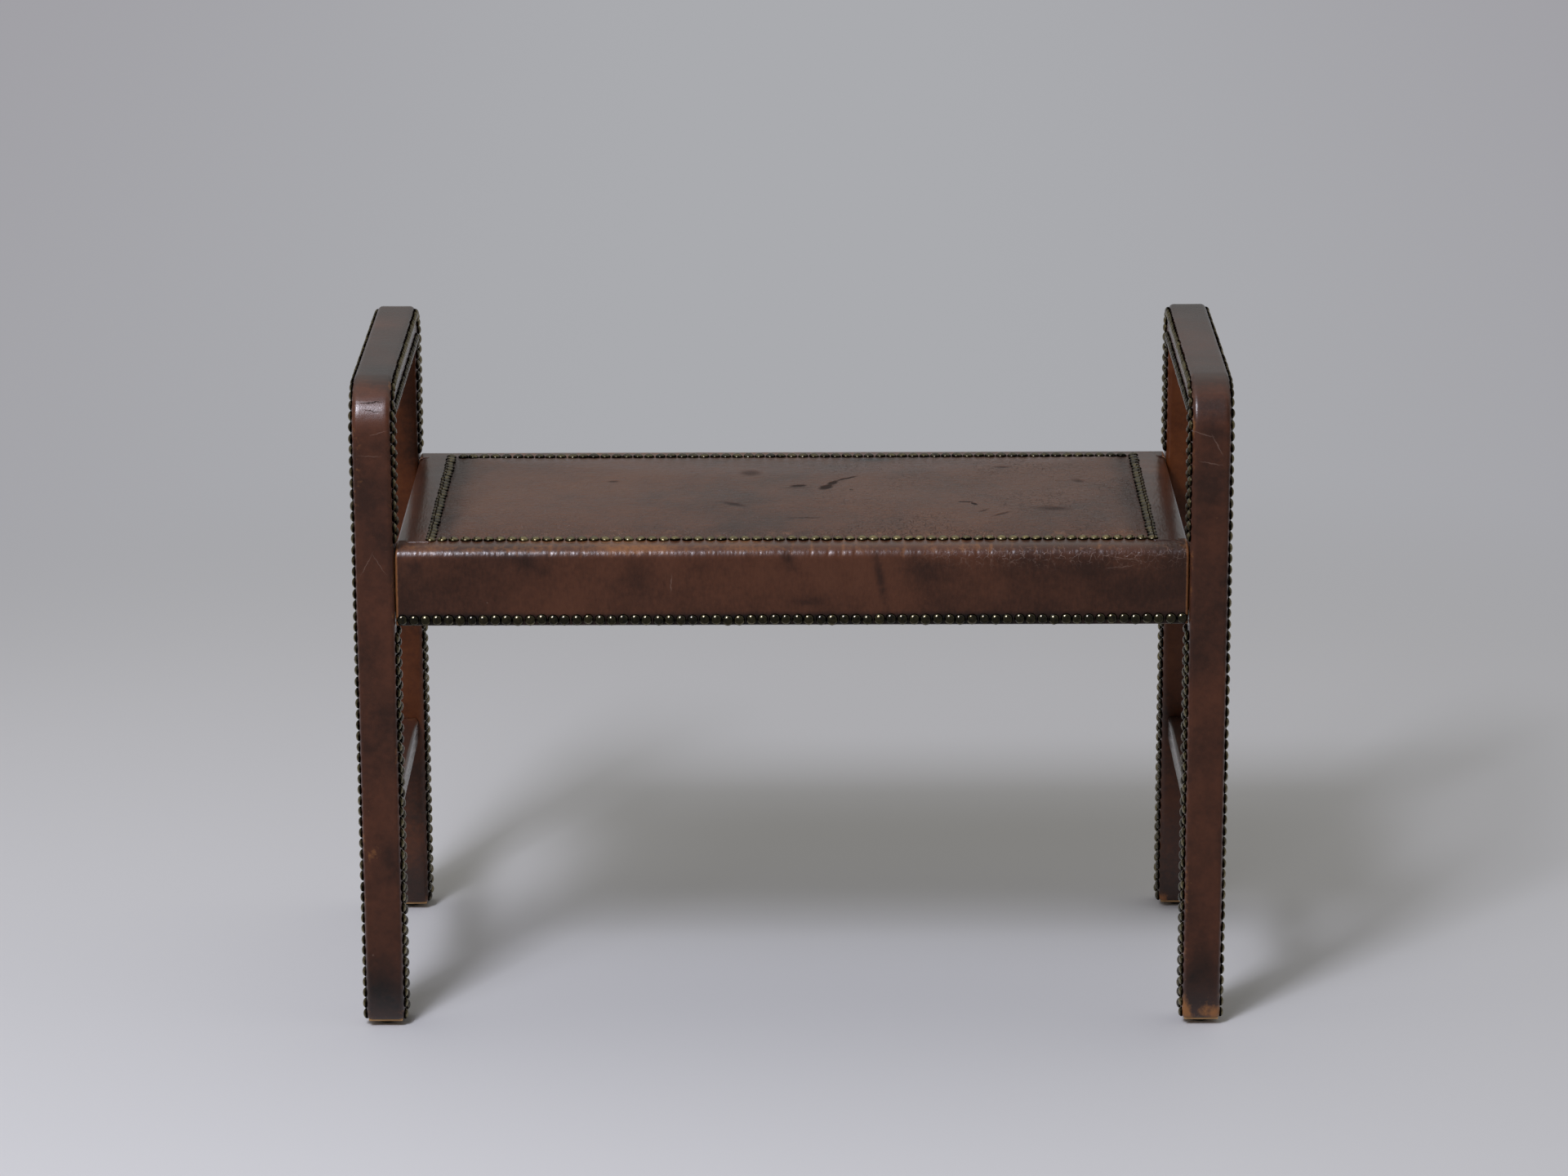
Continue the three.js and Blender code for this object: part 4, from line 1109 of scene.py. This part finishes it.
def glide(name, x, y):
    """A turned glide whose flat middle lies on the floor. A fan of triangles closes it at each end."""
    radius = (glide_high[0] - glide_low[0]) / 2
    curve = np.radians(np.linspace(0, 90, 9))
    dome = points_at(GLIDE_FLAT + (radius - GLIDE_FLAT) * np.sin(curve), GLIDE_DOME * (1 - np.cos(curve)))
    rim = arc(radius - GLIDE_ROLL, 4.1, GLIDE_ROLL, -60, 90, 6)
    shank = [[GLIDE_SHANK, 4.9], [GLIDE_SHANK, glide_high[2]]]
    profile = np.concatenate([[[2.5, 0]], dome[:-1], rim, shank])
    turn = np.linspace(0, 2 * math.pi, 40, endpoint=False)
    reach, height = profile[:, :1], profile[:, 1:]
    points = points_at(x + reach * np.cos(turn), y + reach * np.sin(turn), height)
    rows = len(profile)
    around = np.arange(len(turn))
    after = np.roll(around, -1)
    last = (rows - 1) * len(turn)
    under = np.stack([np.full_like(around, rows * len(turn)), after, around], axis=-1)
    over = np.stack([np.full_like(around, rows * len(turn) + 1), around + last, after + last], axis=-1)
    points = np.concatenate([points.reshape(-1, 3), [[x, y, 0], [x, y, glide_high[2]]]])
    quads = grid_faces(rows, len(turn), wrap=True)
    mesh = bpy.data.meshes.new(name)
    mesh.from_pydata((points * MM).tolist(), [], quads.tolist() + under.tolist() + over.tolist())
    mesh.polygons.foreach_set("use_smooth", np.ones(len(mesh.polygons), bool))
    mesh.update()
    return mesh


for side, name in SIDES:
    for end, end_name in ENDS:
        turned = glide(f"{name}_{end_name}_glide_cup", side * frame_x, end * post_y)
        paint(turned, "tone", 0.4)
        paint(turned, "crown", 1)
        piece_of(turned, glide_metal, "steel_glides", f"{name}_{end_name}_glide")

# %% [markdown]
# A dust cover of black cotton closes the underside. It is tacked along its edge and sags a little between the
# tacks, so it is a sheet with a shallow parabola and small puckers along the border.

# %% Dust cover
COVER_THICKNESS = 0.6
COVER_SAG = 1.6
COVER_PUCKER = 0.35
# The puckers' wavelength over 2 pi, and how far they reach in from the edge
COVER_TACKS = 4.8
COVER_FADE = 9


def dust_sheet():
    """A thin sheet whose sag is a product of two parabolas, with puckers that fade from the edge."""
    x = np.linspace(cover_low[0], cover_high[0], 161)
    y = np.linspace(cover_low[1], cover_high[1], 81)
    gx, gy = np.meshgrid(x, y)
    inside = (1 - (gx / cover_high[0]) ** 2) * (1 - (gy / cover_high[1]) ** 2)
    edge = np.minimum(cover_high[0] - np.abs(gx), cover_high[1] - np.abs(gy))
    pucker = COVER_PUCKER * np.exp(-edge / COVER_FADE) * np.cos(gx / COVER_TACKS) * np.cos(gy / COVER_TACKS)
    top = points_at(gx, gy, cover_high[2] - 0.1 - COVER_SAG * inside - np.abs(pucker))
    return slab("dust_cloth", top, top - [0, 0, COVER_THICKNESS])


dust_cloth = piece_of(dust_sheet(), cotton, "black_cloth", "dust_cover")

# %% [markdown]
# The stool stands on a pale grey studio sweep. One wide floor is enough: it runs far past the picture, and its
# colour fades slowly with distance to the grey of a lit backdrop, as the paper sweep in a studio does. Painted
# shade makes that grey a little darker to the left and right.

# %% Floor
FLOOR_REACH = 40000.0
FLOOR_ALBEDO = "#dfdfdf"
# Grey of the dark side of the studio behind the camera: the world's light from there, and also the painted dark
# reflection that glossy rays see on the floor in front of the stool
CAMERA_SIDE_LIGHT = (0.10, 0.10, 0.095, 1.0)
BACKDROP_MIDDLE = "#aaabaf"
# Painted shade: the backdrop's grey towards the left and right
SHADED_BACKDROP_SIDE = "#a1a0a5"


def paper_sweep(name):
    """Pale matt paper near the stool. Further off it shows the grey of a lit backdrop, by distance from the stool's
    centre, with painted shade that makes the grey a little darker to the left and right. Glossy rays see the
    paper in front of the stool as a painted dark reflection."""
    material, tree = new_material(name)
    place = add(tree, "TexCoord", out="Object")
    radius = add(tree, "VectorMath", {0: place}, out="Value", operation="LENGTH")
    far = add(tree, "MapRange", {"Value": radius, "From Min": 1.0, "From Max": 1.9}, **EASED)
    sideways = add(tree, "SeparateXYZ", {"Vector": place}, out="X")
    sideways = add(tree, "Math", {0: sideways}, operation="ABSOLUTE")
    side_shade = add(tree, "MapRange", {"Value": sideways, "From Min": 0.1, "From Max": 1.7}, **EASED)
    grey = add(tree, "Mix", {"Factor": side_shade, "A": linear(BACKDROP_MIDDLE), "B": linear(SHADED_BACKDROP_SIDE)},
               **COLOUR_MIX)
    backdrop = add(tree, "Emission", {"Color": grey})
    paper = add(tree, "BsdfPrincipled", {"Base Color": linear(FLOOR_ALBEDO), "Roughness": 0.95,
                                         "Specular IOR Level": 0.0})
    seen, glossy = [add(tree, "LightPath", out=ray) for ray in ("Is Camera Ray", "Is Glossy Ray")]
    looked_at = add(tree, "Math", {0: seen, 1: glossy}, operation="MAXIMUM")
    amount = add(tree, "Math", {0: looked_at, 1: far}, operation="MULTIPLY")
    shown = add(tree, "MixShader", {0: amount, 1: paper, 2: backdrop})

    # Painted dark reflection: glossy rays that reach the paper in front of the stool see a fixed dark grey instead
    # of the lit paper, so that polished uprights reflect the dark camera side of the studio
    ahead = add(tree, "SeparateXYZ", {"Vector": place}, out="Y")
    ahead = add(tree, "MapRange", {"Value": ahead, "From Min": -0.18, "From Max": -0.3}, **EASED)
    dark_reflection_share = add(tree, "Math", {0: ahead, 1: glossy}, operation="MULTIPLY")
    painted_dark_reflection = add(tree, "Emission", {"Color": CAMERA_SIDE_LIGHT})
    shown = add(tree, "MixShader", {0: dark_reflection_share, 1: shown, 2: painted_dark_reflection})
    add(tree, "OutputMaterial", {"Surface": shown})
    return material


floor_corners = np.array([[-1, -1, 0], [1, -1, 0], [1, 1, 0], [-1, 1, 0]]) * FLOOR_REACH
floor_mesh = mesh_of("floor", floor_corners, np.array([[0, 1, 2, 3]]), sharp=True)
floor_mesh.materials.append(paper_sweep("grey_paper"))
in_scene("floor", floor_mesh)

# %% [markdown]
# A large soft box stands to the left of the camera and above it, and the grey room fills the shadows. The lamp's
# direction comes from the shadow that the seat casts, behind the stool and to its right. A soft box is brightest
# in its middle, so a small lamp sits in front of the large one: glossy leather shows that hot centre.

# %% Light
LAMP_AZIMUTH = -28.5
LAMP_ELEVATION = 47.6
LAMP_DISTANCE = 3.65
LAMP_TARGET = Vector((0, 0, 0.2))
LAMP_POWER = 84.8
LAMP_TINT = (0.867, 0.877, 1.0)
# Name, width, height, share of the power, and how far in front it stands, in metres
LAMPS = [("soft_box", 1.49, 2.00, 0.44, 0), ("hot_centre", 0.60, 0.80, 0.56, 0.02)]
BACKDROP_LIGHT = (0.256, 0.253, 0.249, 1.0)
CEILING_LIGHT = (0.52, 0.51, 0.49, 1.0)

azimuth, elevation = math.radians(LAMP_AZIMUTH), math.radians(LAMP_ELEVATION)
direction = Vector((math.sin(azimuth) * math.cos(elevation), -math.cos(azimuth) * math.cos(elevation),
                    math.sin(elevation)))
for lamp_name, lamp_width, lamp_height, power_share, ahead in LAMPS:
    lamp_data = bpy.data.lights.new(lamp_name, "AREA")
    lamp_data.shape = "RECTANGLE"
    lamp_data.size = lamp_width
    lamp_data.size_y = lamp_height
    lamp_data.energy = LAMP_POWER * power_share
    lamp_data.color = LAMP_TINT
    lamp = in_scene(lamp_name, lamp_data)
    lamp.location = LAMP_TARGET + direction * (LAMP_DISTANCE - ahead)
    lamp.rotation_euler = direction.to_track_quat("Z", "Y").to_euler()
    print(lamp_name, "gives", round(lamp_data.energy, 1), "watts")

# %% [markdown]
# The room is lit from behind the stool and from the ceiling, and is dark behind the camera. The camera itself sees
# only the even grey of the backdrop.

# %% The grey room
world = bpy.data.worlds.new("studio")
bpy.context.scene.world = world
world.use_nodes = True
room = world.node_tree
room.nodes.clear()
heading = add(room, "TexCoord", out="Generated")
behind, high = [
    add(room, "MapRange", {"Value": add(room, "SeparateXYZ", {"Vector": heading}, out=axis), "From Min": start,
                           "From Max": end}, **EASED)
    for axis, start, end in (("Y", -0.55, 0.15), ("Z", 0.35, 0.75))]
glow = add(room, "Mix", {"Factor": high, "A": BACKDROP_LIGHT, "B": CEILING_LIGHT}, **COLOUR_MIX)
glow = add(room, "Mix", {"Factor": behind, "A": CAMERA_SIDE_LIGHT, "B": glow}, **COLOUR_MIX)
seen = add(room, "LightPath", out="Is Camera Ray")
air = add(room, "Mix", {"Factor": seen, "A": glow, "B": linear(BACKDROP_MIDDLE)}, **COLOUR_MIX)
add(room, "OutputWorld", {"Surface": add(room, "Background", {"Color": air, "Strength": 1.0})})
bpy.context.scene.view_settings.view_transform = "Standard"
print("the room has", len(room.nodes), "nodes")

# %% [markdown]
# The camera stands in front, a little over a metre and a half above the floor, and looks down at 16 degrees
# through a long lens. Its place was found from the edges and nail rows of the real object in the photograph.

# %% Camera
CAMERA_PLACE = (0.00963, -4.49478, 1.62121)
CAMERA_YAW = -0.16
CAMERA_PITCH = 15.81
CAMERA_ROLL = 0.20
CAMERA_LENS = 121.08
camera_data = bpy.data.cameras.new("camera")
camera_data.lens = CAMERA_LENS
camera_data.sensor_width = 36
camera = in_scene("camera", camera_data)
camera.rotation_mode = "XYZ"
camera.location = CAMERA_PLACE
camera.rotation_euler = [math.radians(angle) for angle in (90 - CAMERA_PITCH, CAMERA_ROLL, -CAMERA_YAW)]
bpy.context.scene.camera = camera
print("camera at", CAMERA_PLACE, "lens", CAMERA_LENS, "mm")
